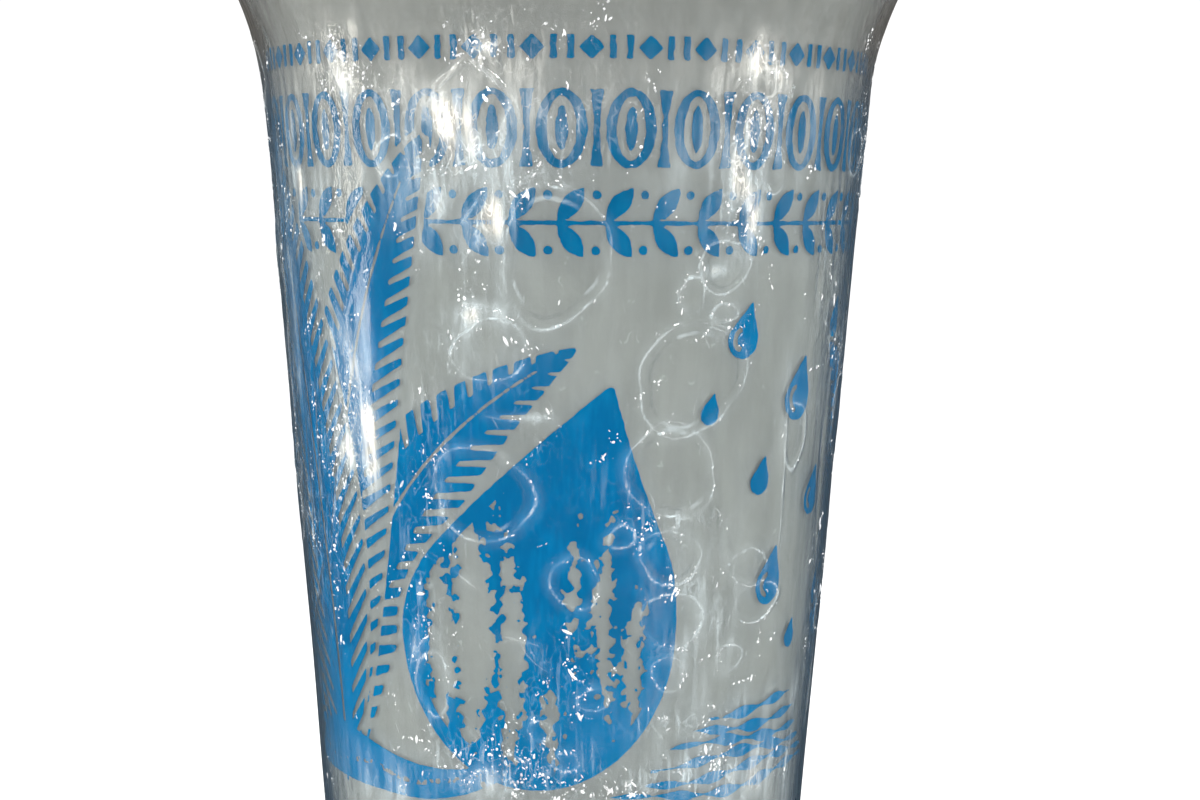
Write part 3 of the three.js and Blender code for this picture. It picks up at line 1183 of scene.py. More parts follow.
# Spots of painted highlight on the front's film: angle, height, half width, half height, strength.
FRONT_GLARES = tuple(Patch(*row) for row in (
    (-16, 91.2, 3.0, 2.4, 0.6), (-12.4, 82.4, 1.7, 3.4, 0.6), (-10.5, 78, 1.0, 3.0, 0.35),
    (-39.5, 57.5, 1.3, 6.4, 0.6), (-41.5, 66, 1.0, 4.5, 0.35), (-46.5, 55.5, 2.6, 2.4, 0.4),
    (35.2, 98.2, 1.4, 2.4, 0.7), (38.5, 96.2, 1.8, 1.5, 0.5), (33.5, 84, 2.2, 5.5, 0.3),
    (36, 81, 1.2, 2.2, 0.4), (-13.4, 98.6, 1.4, 0.8, 0.6), (-42, 93.4, 1.2, 3.0, 0.35),
    (-14.5, 70.8, 2.6, 1.2, 0.35), (28, 75.6, 1.4, 0.7, 0.4), (-17, 19.2, 3.2, 1.6, 0.35),
    (-66, 74, 1.6, 16, 0.22), (-31, 33.5, 0.7, 1.3, 0.5), (-5, 60, 1.6, 0.4, 0.4),
    (-20.5, 89.5, 5.0, 5.5, 0.42), (-40, 96.6, 7, 7, 0.16), (-57, 86, 5, 7, 0.42), (-33, 88, 4, 7, 0.10),
    (-22, 81, 3.4, 4, 0.3), (-44.5, 63, 3.2, 7.5, 0.28), (34, 93, 5, 8, 0.10), (27, 88, 6, 9, 0.15),
    (48, 92, 5, 9, 0.12), (3, 92, 6, 5, 0.07), (29, 36, 6, 12, 0.11), (47, 18, 7, 6, 0.26),
    (27, 21, 10, 7, 0.09), (51, 50, 3.5, 30, 0.04), (-42, 17, 10, 3.8, 0.2), (-14, 68, 5, 4, 0.1),
    (-8.5, 92.5, 4, 5, 0.22),
))


@dataclass
class Film:
    """The clear film shrunk round the whole pack, open only at a puckered hole under the base."""

    shape: PackShape
    finish: FilmFinish = FilmFinish()
    # Whitish threads on outlines and folds, and white beads: painted highlights on real relief.
    thread: GlintFinish = GlintFinish("film_fold", 0.03, 0.22)
    glint_bead: GlintFinish = GlintFinish("film_glint", 0.75, 1.0, (1.0, 1.0, 1.0, 1))
    columns: int = 576
    wall_rows: int = 300
    hole: float = 15.0
    base_corner: float = 2.4
    top_corner: float = 1.4
    edge_angle: float = 62.0
    tries: int = 13000
    rim_points: int = 110
    far: float = 3.0
    base_rows: int = 22
    top_rows: int = 36
    strewn: tuple[int, ...] = (46, 26, 44, 14)
    reach: tuple[float, float] = (14, 100)
    line_thick: float = 0.10
    fold_thick: float = 0.09
    sunk_thick: float = 0.03
    blisters: list[Blister] = field(default_factory=lambda: list(FRONT_BLISTERS))
    patches: list[Patch] = field(default_factory=lambda: list(FRONT_PATCHES))
    creases: list[Crease] = field(default_factory=lambda: list(FRONT_CREASES))
    glares: list[Patch] = field(default_factory=lambda: list(FRONT_GLARES))

    def __post_init__(self) -> None:
        """Strews pockets, crumples, folds and spots of painted highlight over the sides and back, like those
        of the front.
        """
        draw = random.Random(41)
        pockets, crumples, folds, glares = self.strewn

        def spot() -> tuple[float, float]:
            """Place away from the front."""
            return draw.uniform(self.edge_angle, 360 - self.edge_angle), draw.uniform(*self.reach)

        for _ in range(pockets):
            size = draw.uniform(1.2, 3.2) * draw.uniform(1, 2)
            self.blisters.append(Blister(*spot(), size, size * draw.uniform(0.75, 1.2), 0.02 * size))
        for _ in range(crumples):
            self.patches.append(Patch(*spot(), draw.uniform(2, 6), draw.uniform(2, 12), draw.uniform(0.4, 1)))
        for _ in range(folds):
            angle, height = spot()
            lean, length = draw.gauss(0, 6), draw.uniform(4, 16)
            depth = draw.uniform(0.1, 0.2) * draw.choice((1, 1, -1))
            self.creases.append(Crease((angle, height), (angle + lean, height - length), depth))
        for _ in range(glares):
            place, size = spot(), (draw.uniform(0.8, 2.4), draw.uniform(1, 7))
            self.glares.append(Patch(*place, *size, draw.uniform(0.3, 0.7)))

    def path(self) -> np.ndarray:
        """Half section of the smooth film.

        Returns:
            (radius, height) points from the hole under the base to the middle of the top.
        """
        shape = self.shape
        base = (shape.film_radius(self.base_corner) - self.base_corner, self.base_corner)
        top = (shape.film_radius(shape.flare_top) - self.top_corner, shape.height - self.top_corner)
        wall = np.linspace(self.base_corner, shape.flare_top, self.wall_rows)[1:-1]
        return np.array([
            *[(r, 0.0) for r in np.linspace(self.hole, base[0], self.base_rows)[:-1]],
            *arc(base, self.base_corner, -90, 0), *[(shape.film_radius(z), z) for z in wall],
            *arc(top, self.top_corner, 0, 90),
            *[(r, shape.height) for r in np.linspace(top[0], 0, self.top_rows)[1:]],
        ])

    def crumpled(self, angle: np.ndarray, height: np.ndarray) -> np.ndarray:
        """How crumpled the wall is at places.

        Args:
            angle: Degrees from the front's middle.
            height: Above the floor.

        Returns:
            0 where it is taut and 1 where it is most crumpled.
        """
        shape = self.shape
        total = sum(patch.mask(angle, height, shape) for patch in self.patches)
        points = round_axis(angle, shape.film_radius(height), height)
        total = total + 0.35 * eased(Grain(21).smooth(points, 13), 0.0, 0.5)
        calm = np.ones_like(total)
        for blister in self.blisters:
            calm *= 1 - 0.85 * (1 - eased(blister.reach(angle, height, shape), 0.7, 1.0))
        return np.clip(total, 0, 1) * calm

    def relief(self, angle: np.ndarray, radius: np.ndarray, height: np.ndarray) -> np.ndarray:
        """How far the film stands out from its smooth form, in millimetres.

        Args:
            angle: Degrees from the front's middle.
            radius: Of the smooth film.
            height: Of the smooth film.

        Returns:
            The distance outwards, one for each place.
        """
        shape = self.shape
        points = round_axis(angle, radius, height)
        wall = eased(height, 1, 7) * (1 - eased(height, 107, 110.6))
        flare = eased(height, 96, 103)
        waves = 0.16 * Grain(3).smooth(points, 19) + 0.05 * Grain(4).smooth(points, (5, 5, 12))
        drawn = 0.03 * Grain(5).smooth(points, (1.5, 1.5, 24))
        drawn = drawn + 0.16 * flare * Grain(6).smooth(points, (2.6, 2.6, 40))
        folds = 0.13 * Grain(7).creased(points, (2.2, 2.2, 3.6)) ** 2 + 0.07 * Grain(8).creased(points, 1.1)
        lines = sum(crease.ridge(angle, height, shape) for crease in self.creases)
        for blister in self.blisters:
            reach, past = blister.reach(angle, height, shape), blister.past(angle, height, shape)
            lines = lines + 0.045 * np.exp(-((past / 0.3) ** 2)) + blister.swell * np.clip(1 - reach**2, 0, 1)
        total = wall * (waves + drawn + self.crumpled(angle, height) * (folds - 0.05) + lines)
        top = eased(height, shape.height - 1.2, shape.height - 0.1)
        pleat = Grain(9).creased(round_axis(angle, 42.0, 0.0), 2.1)
        taut = 0.5 * (1 - np.clip(radius / 36.5, 0, 1) ** 2) + 0.2 * eased(radius, 20, 36) * pleat
        ripple = 0.12 * Grain(10).smooth(points, 8) + 0.12
        total = total - top * (taut + ripple * eased(radius, 40, 34))
        base = 1 - eased(height, 0.05, 1.2)
        pucker = Grain(12).creased(round_axis(angle, 20.0, 0.0), 1.7)
        lift = 0.05 + 0.24 * pucker + 0.9 * (1 - eased(radius, 15, 23)) * (0.4 + 0.6 * pucker)
        return np.maximum(total, -0.55) - base * lift

    def looks(self, angle: np.ndarray, radius: np.ndarray, height: np.ndarray) -> dict[str, np.ndarray]:
        """What the film's finish reads at places.

        Args:
            angle: Degrees from the front's middle.
            radius: Of the smooth film.
            height: Of the smooth film.

        Returns:
            How crumpled the film is, how strong its painted glare is, and how far away its outlines and folds
            are.
        """
        shape = self.shape
        points = round_axis(angle, radius, height)
        wall = eased(height, 2, 7) * (1 - eased(height, 106, 109))
        line, echo, sunk = (np.full(height.shape, self.far) for _ in range(3))
        for blister in self.blisters:
            past = blister.past(angle, height, shape)
            line = np.minimum(line, np.abs(past))
            if blister.swell >= 0.1:
                echo = np.minimum(echo, np.abs(past + 0.3 + 0.12 * blister.across))
        for crease in self.creases:
            away, along = crease.past(angle, height, shape)
            away = away + 0.3 * (1 - np.sin(math.pi * along))
            if crease.depth > 0:
                line = np.minimum(line, away)
            else:
                sunk = np.minimum(sunk, away)
        # Painted highlight: the glare spots, broken up by noise.
        glare = sum(spot.mask(angle, height, shape) for spot in self.glares)
        glare = glare * np.clip(0.75 + 1.3 * Grain(16).smooth(points, (2.2, 2.2, 5.0)), 0.15, 1.3)
        return {"crumple": self.crumpled(angle, height) * wall, "glare": np.clip(glare, 0, 0.95) * wall,
                "line": line, "echo": echo, "sunk": sunk}

    def at(self, angle: np.ndarray, height: np.ndarray, lift: float = 0.0) -> tuple[np.ndarray, np.ndarray]:
        """Points on the crinkled wall.

        Args:
            angle: Degrees from the front's middle.
            height: Above the floor.
            lift: How far off the film the points stand.

        Returns:
            The points, and the directions that the wall faces there.
        """
        radius = self.shape.film_radius(height)
        points = round_axis(angle, radius + self.relief(angle, radius, height) + lift, height)
        return points, round_axis(angle, 1.0, -0.08 - 0.033 * np.maximum(0, height - self.shape.flare_start))

    def sheets(self) -> dict[str, bpy.types.Mesh]:
        """Makes the film as four sheets.

        Returns:
            The base, the front and back of the wall, and the top, by name.
        """
        path = self.path()
        run = np.gradient(path, axis=0)
        run /= np.linalg.norm(run, axis=1)[:, None]
        angle = np.linspace(-90, 270, self.columns, endpoint=False)[None, :]
        radius, height = (np.repeat(part[:, None], self.columns, 1) for part in path.T)
        angle = np.repeat(angle, len(path), 0)
        ragged = Grain(13).smooth(round_axis(angle, 15.0, 0.0), 3.0) * 2.2
        radius = radius + ragged * (1 - eased(radius, self.hole, self.hole + 5)) * (height < 0.01)
        lift = self.relief(angle, radius, height)
        looks = self.looks(angle, radius, height)
        points = round_axis(angle, radius + lift * run[:, 1:], height - lift * run[:, :1])
        points = np.concatenate([points, np.stack(list(looks.values()), -1)], -1)
        half = self.columns // 2
        low = self.base_rows + ARC_STEPS
        high = low + self.wall_rows - 2
        doubled = np.concatenate([points, points[:, :1]], 1)
        sheets = {
            "film_base": (points[:low], True), "film_front": (doubled[low - 1:high + 1, :half + 1], False),
            "film_back": (doubled[low - 1:high + 1, half:], False), "film_top": (points[high:], True),
        }
        made = {}
        for name, (part, joined) in sheets.items():
            made[name] = mesh_of(name, part[..., :3], grid_faces(part.shape[0], part.shape[1], joined))
            for index, look in enumerate(looks):
                marked(made[name], look, part[..., 3 + index])
        cleaned(made["film_top"], closed=False)
        return made

    def strands(self) -> list[tuple[np.ndarray, np.ndarray, np.ndarray, bool]]:
        """Lays a line along every outline and fold.

        Returns:
            Angles, heights and thicknesses along each, and whether it is a loop.
        """
        draw = random.Random(8)
        found = []
        for blister in self.blisters:
            angle, height = blister.outline(self.shape)
            turn = np.linspace(0, TURN, len(angle), endpoint=False)
            waves = [size * np.sin(count * turn + draw.uniform(0, TURN))
                     for count, size in ((1, 0.4), (3, 0.35), (8, 0.2))]
            width = self.line_thick * blister.line * np.clip(0.35 + sum(waves), 0.05, 1)
            found.append((angle, height, width, True))
        for crease in self.creases:
            thick = self.fold_thick if crease.depth > 0 else self.sunk_thick
            found.append((*self.stroke(draw, crease.start, crease.end, thick), False))
        for patch in self.patches:
            for _ in range(int(3 + 0.7 * patch.across * patch.up**0.5)):
                across = math.degrees(patch.across / self.shape.film_radius(patch.height))
                angle = draw.gauss(patch.angle, 0.6 * across)
                height = draw.gauss(patch.height, 0.55 * patch.up)
                lean, length = draw.gauss(0, 1.4), draw.uniform(0.5, 3.2)
                start, end = (angle, min(height, 104)), (angle + lean, min(height + length, 105))
                thick = draw.uniform(self.sunk_thick, self.fold_thick)
                found.append((*self.stroke(draw, start, end, thick), False))
        return found

    def stroke(self, draw: random.Random, start: tuple, end: tuple, thick: float) -> tuple:
        """A slightly wavering line that thins out at both ends.

        Args:
            draw: Where its wavering comes from.
            start: Its first angle and height.
            end: Its last angle and height.
            thick: Half its thickness in the middle.

        Returns:
            Angles, heights and thicknesses along it.
        """
        share = np.linspace(0, 1, 9)
        bow, shake = draw.gauss(0, 0.5), np.array([draw.gauss(0, 0.07) for _ in share])
        angle = start[0] + apart(end[0], start[0]) * share + bow * np.sin(math.pi * share) + shake
        height = start[1] + (end[1] - start[1]) * share
        return angle, height, thick * np.sin(math.pi * np.clip(share, 0.03, 0.97))

    def threads(self, finish: bpy.types.Material) -> bpy.types.Mesh:
        """Runs a round bead along every outline and fold, whose whitish finish is a painted highlight.

        Args:
            finish: Its material.

        Returns:
            The beads as one mesh.
        """
        edges, thick = [], []
        strands = self.strands()
        for angle, _, width, loop in strands:
            first, count = len(thick), len(angle)
            ends = [(first + i, first + i + 1) for i in range(count - 1)]
            edges += ends + ([(first + count - 1, first)] if loop else [])
            thick += width.tolist()
        angle = np.concatenate([strand[0] for strand in strands])
        height = np.clip(np.concatenate([strand[1] for strand in strands]), 3, 107)
        places, _ = self.at(angle, height)
        mesh = mesh_of("strands", places, edges=edges)
        marked(mesh, "thick", np.array(thick) * MM)
        tree = Tree("film_folds")
        curve = tree.node("MeshToCurve", inputs={"Mesh": tree.source})
        round_bead = tree.node("CurvePrimitiveCircle", inputs={"Resolution": 5, "Radius": 1.0})
        scale = tree.stored("thick") * tree.size("Bead share", 1.0)
        tubes = tree.node("CurveToMesh", inputs={"Curve": curve, "Profile Curve": round_bead, "Scale": scale,
                                                 "Fill Caps": True})
        return tree.grown(mesh, tree.smooth(tubes), finish)

    def rim_spots(self, draw: np.random.Generator, blister: Blister) -> np.ndarray:
        """Strews glints along an outline, where they crowd together on two or three arcs.

        Args:
            draw: Where chance comes from.
            blister: The pocket with the outline.

        Returns:
            Their angles and heights.
        """
        angle, height = blister.outline(self.shape, self.rim_points)
        turn = np.linspace(0, TURN, self.rim_points, endpoint=False)
        crowd = np.sin(turn + draw.uniform(0, TURN)) + np.sin(2 * turn + draw.uniform(0, TURN)) - 0.75
        kept = draw.random(self.rim_points) < 0.05 + 0.45 * np.clip(crowd, 0, 1)
        stray = draw.normal(0, (0.45, 0.22), (kept.sum(), 2))
        return np.stack([angle[kept], height[kept]], -1) + stray

    def glint_beads(self, finish: bpy.types.Material) -> bpy.types.Mesh:
        """Strews beads, whose white is a painted glint, in short rows over the crumples, and singly along the
        outlines.

        Args:
            finish: Their material.

        Returns:
            The beads as one mesh.
        """
        draw = np.random.default_rng(19)
        angle, height = draw.uniform(-180, 180, self.tries), draw.uniform(8, 104, self.tries)
        turned_away = eased(np.abs(angle), 50, 60) * eased(np.abs(angle), 95, 80)
        behind = eased(np.abs(angle), 90, 110)
        chance = (0.8 * self.crumpled(angle, height) ** 1.5 + 0.012) * (1 - 0.7 * turned_away - 0.5 * behind)
        kept = draw.random(self.tries) < chance
        row = np.repeat(np.arange(kept.sum()), draw.integers(2, 13, kept.sum()))
        lean = draw.normal(0, 0.6, kept.sum())[row]
        slide, stray = draw.normal(0, 1.3, len(row)), draw.normal(0, 0.38, len(row))
        angle = angle[kept][row] + np.degrees((slide * np.sin(lean) + stray) / 33)
        height = height[kept][row] + slide * np.cos(lean)
        size = (0.048 + 0.16 * draw.random(len(row)) ** 3.5) * np.exp(-((slide / 2.4) ** 2))
        rims = np.concatenate([self.rim_spots(draw, blister) for blister in self.blisters])
        angle = np.concatenate([angle, rims[:, 0]])
        height = np.clip(np.concatenate([height, rims[:, 1]]), 4, 106)
        size = np.concatenate([size, 0.045 + 0.08 * draw.random(len(rims)) ** 2])
        places, outward = self.at(angle, height, 0.02)
        count = len(angle)
        long = np.where(draw.random(count) < 0.3, draw.uniform(1.8, 4, count), draw.uniform(1, 1.5, count))
        mesh = mesh_of("spots", places)
        marked(mesh, "outward", outward, "FLOAT_VECTOR")
        marked(mesh, "size", np.stack([size * 0.5, size, size * long], -1) * MM, "FLOAT_VECTOR")
        marked(mesh, "spin", draw.normal(0, 0.6, count))
        tree = Tree("film_glints")
        bead = tree.node("MeshIcoSphere", inputs={"Radius": tree.size("Bead radius", 1.0), "Subdivisions": 1})
        flat = tree.facing("X", tree.stored("outward", "FLOAT_VECTOR"))
        rotation = tree.spun(flat, (1, 0, 0), tree.stored("spin"))
        beads = tree.placed(tree.source, bead, rotation, tree.stored("size", "FLOAT_VECTOR"))
        return tree.grown(mesh, tree.smooth(beads), finish)

    def build(self) -> None:
        """Adds the four sheets, the threads along folds and outlines, and the glints."""
        finish = self.finish.material()
        for name, mesh in self.sheets().items():
            piece(name, mesh, finish, Slot.FILM, "shrink_film")
        thread, glint_bead = self.thread.material(), self.glint_bead.material()
        piece("film_folds", self.threads(thread), thread, Slot.FILM)
        piece("film_glints", self.glint_beads(glint_bead), glint_bead, Slot.FILM)


def joined_fields(*fields: np.ndarray) -> np.ndarray:
    """Field of everything that any of the fields covers."""
    return np.maximum.reduce(fields)


def cut(field_in: np.ndarray, hole: np.ndarray) -> np.ndarray:
    """Field of what one field covers and another doesn't."""
    return np.minimum(field_in, -hole)


class Contour:
    """Flat faces of where a field is above zero, with its edge found between grid points.

    Square blocks of cells that lie wholly inside become one face each, the largest first.
    """

    def __init__(self, values: np.ndarray, across: np.ndarray, up: np.ndarray,
                 sizes: Sequence[int] = (8, 4, 2)) -> None:
        """Finds the faces.

        Args:
            values: The field, with a row for each height.
            across: Place of each column.
            up: Place of each row.
            sizes: Numbers of cells along the sides of the blocks.
        """
        self.values, self.across, self.up = values, across, up
        self.inside = values > 0
        self.used = np.zeros(values.shape, bool)
        self.known: dict[tuple, int] = {}
        self.points: list[tuple] = []
        self.faces: list[list[int]] = []
        corners = [self.inside[:-1, :-1], self.inside[:-1, 1:], self.inside[1:, :-1], self.inside[1:, 1:]]
        full, left = np.logical_and.reduce(corners), np.logical_or.reduce(corners)
        blocks = []
        for size in sizes:
            rows, columns = full.shape[0] // size, full.shape[1] // size
            area = full[:rows * size, :columns * size]
            whole = area.reshape(rows, size, columns, size).all((1, 3))
            spread = np.kron(whole, np.ones((size, size), bool))
            area &= ~spread
            left[:rows * size, :columns * size] &= ~spread
            blocks += [(row * size, column * size, size) for row, column in np.argwhere(whole).tolist()]
        rows, columns = np.nonzero(left)
        for corner_row, corner_column in ((0, 0), (0, 1), (1, 0), (1, 1)):
            self.used[rows + corner_row, columns + corner_column] = True
            for row, column, size in blocks:
                self.used[row + corner_row * size, column + corner_column * size] = True
        for block in blocks:
            self.add_block(*block)
        for row, column in zip(rows.tolist(), columns.tolist()):
            self.add_cell(row, column)

    def corner(self, row: int, column: int) -> int:
        """Finds or adds the point at a grid corner.

        Args:
            row: Of the corner.
            column: Of the corner.

        Returns:
            The point's number.
        """
        if (row, column) not in self.known:
            self.known[row, column] = len(self.points)
            self.points.append((self.across[column], self.up[row], 0.0))
        return self.known[row, column]

    def crossing(self, first: tuple, second: tuple) -> int:
        """Finds or adds the point where the field's edge crosses a grid line.

        Args:
            first: Row and column of one end of the line.
            second: Row and column of its other end.

        Returns:
            The point's number.
        """
        key = (min(first, second), max(first, second))
        if key not in self.known:
            low, high = self.values[first], self.values[second]
            share = min(0.98, max(0.02, low / (low - high)))
            x = self.across[first[1]] + share * (self.across[second[1]] - self.across[first[1]])
            y = self.up[first[0]] + share * (self.up[second[0]] - self.up[first[0]])
            self.known[key] = len(self.points)
            self.points.append((x, y, 0.0))
        return self.known[key]

    def add_block(self, row: int, column: int, size: int) -> None:
        """Adds one face for a block, with every point on its border that another face uses.

        Args:
            row: Of its first corner.
            column: Of its first corner.
            size: Cells along its side.
        """
        steps = range(size)
        border = [
            *[(row, column + i) for i in steps], *[(row + i, column + size) for i in steps],
            *[(row + size, column + size - i) for i in steps], *[(row + size - i, column) for i in steps],
        ]
        self.faces.append([self.corner(*place) for place in border if self.used[place]])

    def add_cell(self, row: int, column: int) -> None:
        """Adds the part of a cell that lies inside.

        Args:
            row: Of its first corner.
            column: Of its first corner.
        """
        ring = [(row, column), (row, column + 1), (row + 1, column + 1), (row + 1, column)]
        face = []
        for place, after in zip(ring, ring[1:] + ring[:1]):
            if self.inside[place]:
                face.append(self.corner(*place))
            if self.inside[place] != self.inside[after]:
                face.append(self.crossing(place, after))
        if len(face) > 2:
            self.faces.append(face)


@dataclass(frozen=True)
class Leaf:
    """A long leaf, slit from its edges towards its rib."""

    root: tuple[float, float]
    lean: float
    length: float
    half_width: float
    bend: float
    slit: float = 2.6

    def covers(self, across: np.ndarray, up: np.ndarray) -> tuple[np.ndarray, np.ndarray]:
        """Draws the leaf.

        Args:
            across: Places to the right of the panel's middle.
            up: Places above the floor.

        Returns:
            Fields of the leaf with its slits and rib cut out, and of its whole outline.
        """
        turn = math.radians(self.lean)
        x, y = across - self.root[0], up - self.root[1]
        along = (x * math.cos(turn) + y * math.sin(turn)) / self.length
        side = y * math.cos(turn) - x * math.sin(turn)
        share = np.clip(along, 0, 1)
        side = side - self.bend * 4 * share * (1 - share)
        half = self.half_width * np.sin(math.pi * share**0.8) ** 0.75
        whole = np.where((along < 0) | (along > 1), -1.0, half - np.abs(side))
        comb = (along * self.length - 0.9 * np.abs(side)) / self.slit
        gap = (0.5 - np.abs(comb - np.floor(comb) - 0.5)) * self.slit - 0.16 - 0.09 * np.abs(side)
        slits = np.maximum(gap, 0.48 * half - np.abs(side))
        rib = 0.22 * (1 - share) + 0.12 - np.abs(side)
        return np.minimum(np.minimum(whole, slits), -np.where(share < 0.93, rib, -1)), whole


@dataclass
class Print:
    """A generic blue print: friezes round the top, and below them leaves, a drop and rippled water.

    It is laid out flat, in millimetres to the right of a panel's middle and above the floor, and repeated on
    the pack's back.
    """

    shape: PackShape
    finish: InkFinish = InkFinish()
    roll: float = 33.0
    cell: float = 0.25
    bottom: float = 15.4
    top: float = 101.4
    beads_level: float = 98.7
    eggs_level: float = 90.4
    laurels_level: float = 80.6
    gap: float = 0.9
    fray: float = 0.07
    thickness: float = 0.04
    off_wall: float = 0.02
    grain: Grain = Grain(31)
    fine_grain: Grain = Grain(32)

    def __post_init__(self) -> None:
        """Lays out the panel's grid, and the random relief that frays the edges of the print."""
        self.half = self.roll * math.pi / 2
        columns, rows = (int(size / self.cell) + 1 for size in (2 * self.half, self.top - self.bottom))
        self.columns = np.linspace(-self.half, self.half, columns)
        self.rows = np.linspace(self.bottom, self.top, rows)
        self.across, self.up = np.meshgrid(self.columns, self.rows)
        flat = np.stack([self.across, self.up, 0 * self.up], -1)
        self.rough = self.grain.smooth(flat, 0.9) + 0.7 * self.fine_grain.smooth(flat, 0.5)

    def repeat(self, count: int, shift: float = 0.0) -> tuple[np.ndarray, float]:
        """Folds the panel into equal spans.

        Args:
            count: Number of spans in it.
            shift: How far the spans are moved, in spans.

        Returns:
            Places across from the middle of each span, and the span's width.
        """
        pitch = 2 * self.half / count
        spans = (self.across + self.half) / pitch + shift
        return (spans - np.floor(spans) - 0.5) * pitch, pitch

    def beads(self) -> np.ndarray:
        """The thin top frieze: lozenges and pairs of bars.

        Returns:
            Its field.
        """
        rise = self.up - self.beads_level
        place, _ = self.repeat(18)
        lozenge = 1.0 - np.abs(place) / 1.25 - np.abs(rise) / 1.35
        other, _ = self.repeat(18, 0.5)
        bars = np.minimum(0.36 - np.abs(np.abs(other) - 0.85), 1.25 - np.abs(rise))
        return joined_fields(lozenge, bars)

    def eggs(self) -> np.ndarray:
        """The tall frieze: open ovals with a seed, and darts between them.

        Returns:
            Its field.
        """
        rise = self.up - self.eggs_level
        place, _ = self.repeat(15)
        oval = (1 - np.hypot(place / 2.55, rise / 4.1)) * 2.5
        inner = (1 - np.hypot(place / 1.45, rise / 3.35)) * 1.5
        seed = (1 - np.hypot(place / 0.62, rise / 2.3)) * 0.6
        other, _ = self.repeat(15, 0.5)
        dart = 0.32 + 0.42 * np.abs(rise / 4) ** 2.2 - np.abs(other)
        dart = np.minimum(dart, 4.0 - np.abs(rise))
        return joined_fields(cut(oval, inner), seed, dart)

    def laurels(self) -> np.ndarray:
        """The lower frieze: slanting leaf pairs on a stem.

        Returns:
            Its field.
        """
        rise = self.up - self.laurels_level
        place, pitch = self.repeat(21)
        parts = [0.24 - np.abs(rise)]
        for way in (1, -1):
            x, y = place - 0.2 * pitch, way * rise - 1.9
            turn = math.radians(52)
            along, side = x * math.cos(turn) + y * math.sin(turn), y * math.cos(turn) - x * math.sin(turn)
            parts.append(1 - (along / 2.25) ** 2 - np.abs(side))
        dots = 0.48 - np.hypot(self.repeat(21, 0.28)[0], np.abs(rise) - 2.9)
        return joined_fields(*parts, dots)

    def fan(self, shift: float) -> tuple[np.ndarray, np.ndarray]:
        """Broad slit leaves that rise from the lower left.

        Args:
            shift: How far they are moved to the right.

        Returns:
            Fields of the leaves as printed, and of their whole outlines.
        """
        printed = np.full(self.up.shape, -1.0)
        whole = printed.copy()
        root = (-33.0, 16.0)
        leaves = (
            Leaf(root, 148, 34, 6.0, -5), Leaf(root, 56, 62, 7.5, 8), Leaf(root, 122, 60, 8.5, -7),
            Leaf(root, 76, 76, 8.5, 5), Leaf(root, 99, 80, 9.0, -3),
        )
        for leaf in leaves:
            ink, outline = leaf.covers(self.across - shift, self.up)
            printed = np.maximum(np.minimum(printed, -outline - 0.7), ink)
            whole = np.maximum(whole, outline)
        return printed, whole

    def drop(self, x: np.ndarray, y: np.ndarray, radius: float, tall: float, lean: float = 0.0) -> np.ndarray:
        """Field of a drop.

        Args:
            x: Places to the right of the middle of its round end.
            y: Places above that.
            radius: Of its round end.
            tall: Height of its tip above the middle of its round end.
            lean: How far the tip leans to the right, as a share of its height.

        Returns:
            Distance inside the outline.
        """
        tip = 0.04 * radius
        x = np.abs(x - lean * np.clip(y, 0, None) ** 1.6 / tall**0.6)
        slope = (radius - tip) / tall
        flat = math.sqrt(1 - slope * slope)
        side = flat * y - slope * x
        round_end = np.hypot(x, y) - radius
        pointed = np.hypot(x, y - tall) - tip
        flank = flat * x + slope * y - radius
        return -np.where(side < 0, round_end, np.where(side > flat * tall, pointed, flank))

    def big_drop(self) -> tuple[np.ndarray, np.ndarray]:
        """The large drop, with stippled streaks of sheen.

        Returns:
            Fields of the drop as printed, and of its whole outline.
        """
        x, y = self.across + 3.0, self.up - 35.5
        whole = self.drop(x, y, 17.0, 27.0, 0.3)
        streaks = ((-11.2, -1, 1.9, 12), (-7.0, 1, 2.6, 15), (-2.6, -2, 1.7, 13), (2.0, -9, 0.9, 6),
                   (8.0, 2, 1.1, 11), (11.6, -3, 1.3, 8.5), (-4.5, 17, 0.8, 5), (4.6, 5, 0.6, 6))
        light = np.full(x.shape, -9.0)
        for middle, level, half, tall in streaks:
            bow = x - middle - 0.004 * middle * (y - level) ** 2 / 4
            light = np.maximum(light, half * (1 - ((y - level) / tall) ** 2) - np.abs(bow))
        stipple = self.rough * np.where(light > -1.4, 1.5, 0.6)
        rim = np.minimum(whole, 1.7 - whole)
        return joined_fields(cut(whole, light + stipple), rim), whole

    def water(self) -> np.ndarray:
        """Rippled water along the bottom: a pool on the left, and tapering strokes to the right.

        Returns:
            Its field.
        """
        across, up = self.across, self.up
        shore = 21.5 + 1.4 * np.sin(across * 0.16 + 1) - np.clip(across + 8, 0, None) * 0.34
        shore = shore - 0.13 * np.clip(-36 - across, 0, None) ** 1.5
        pool = np.minimum(shore - up, up - 16.2 - 0.02 * (across + 20) ** 2 * (across > -20))
        parts = [pool]
        for index in range(6):
            level = 17.2 + 1.75 * index + 0.45 * np.sin(across * 0.21 + index * 1.3)
            start, end = 6 + 2.6 * index, 46 - 2.0 * index
            share = np.clip((across - start) / (end - start), 0, 1)
            thick = 0.62 * np.sin(math.pi * share) ** 0.6 * (0.75 + 0.5 * np.sin(across * 0.9 + 2.1 * index))
            parts.append(np.where((across > start) & (across < end), thick - np.abs(up - level), -1))
        glitter = 0.34 - np.abs(up - 18.6 - 0.5 * np.sin(across * 0.4)) - 0.5 * (self.rough < 0.02)
        return cut(joined_fields(*parts), np.where(across < 4, glitter, -1))

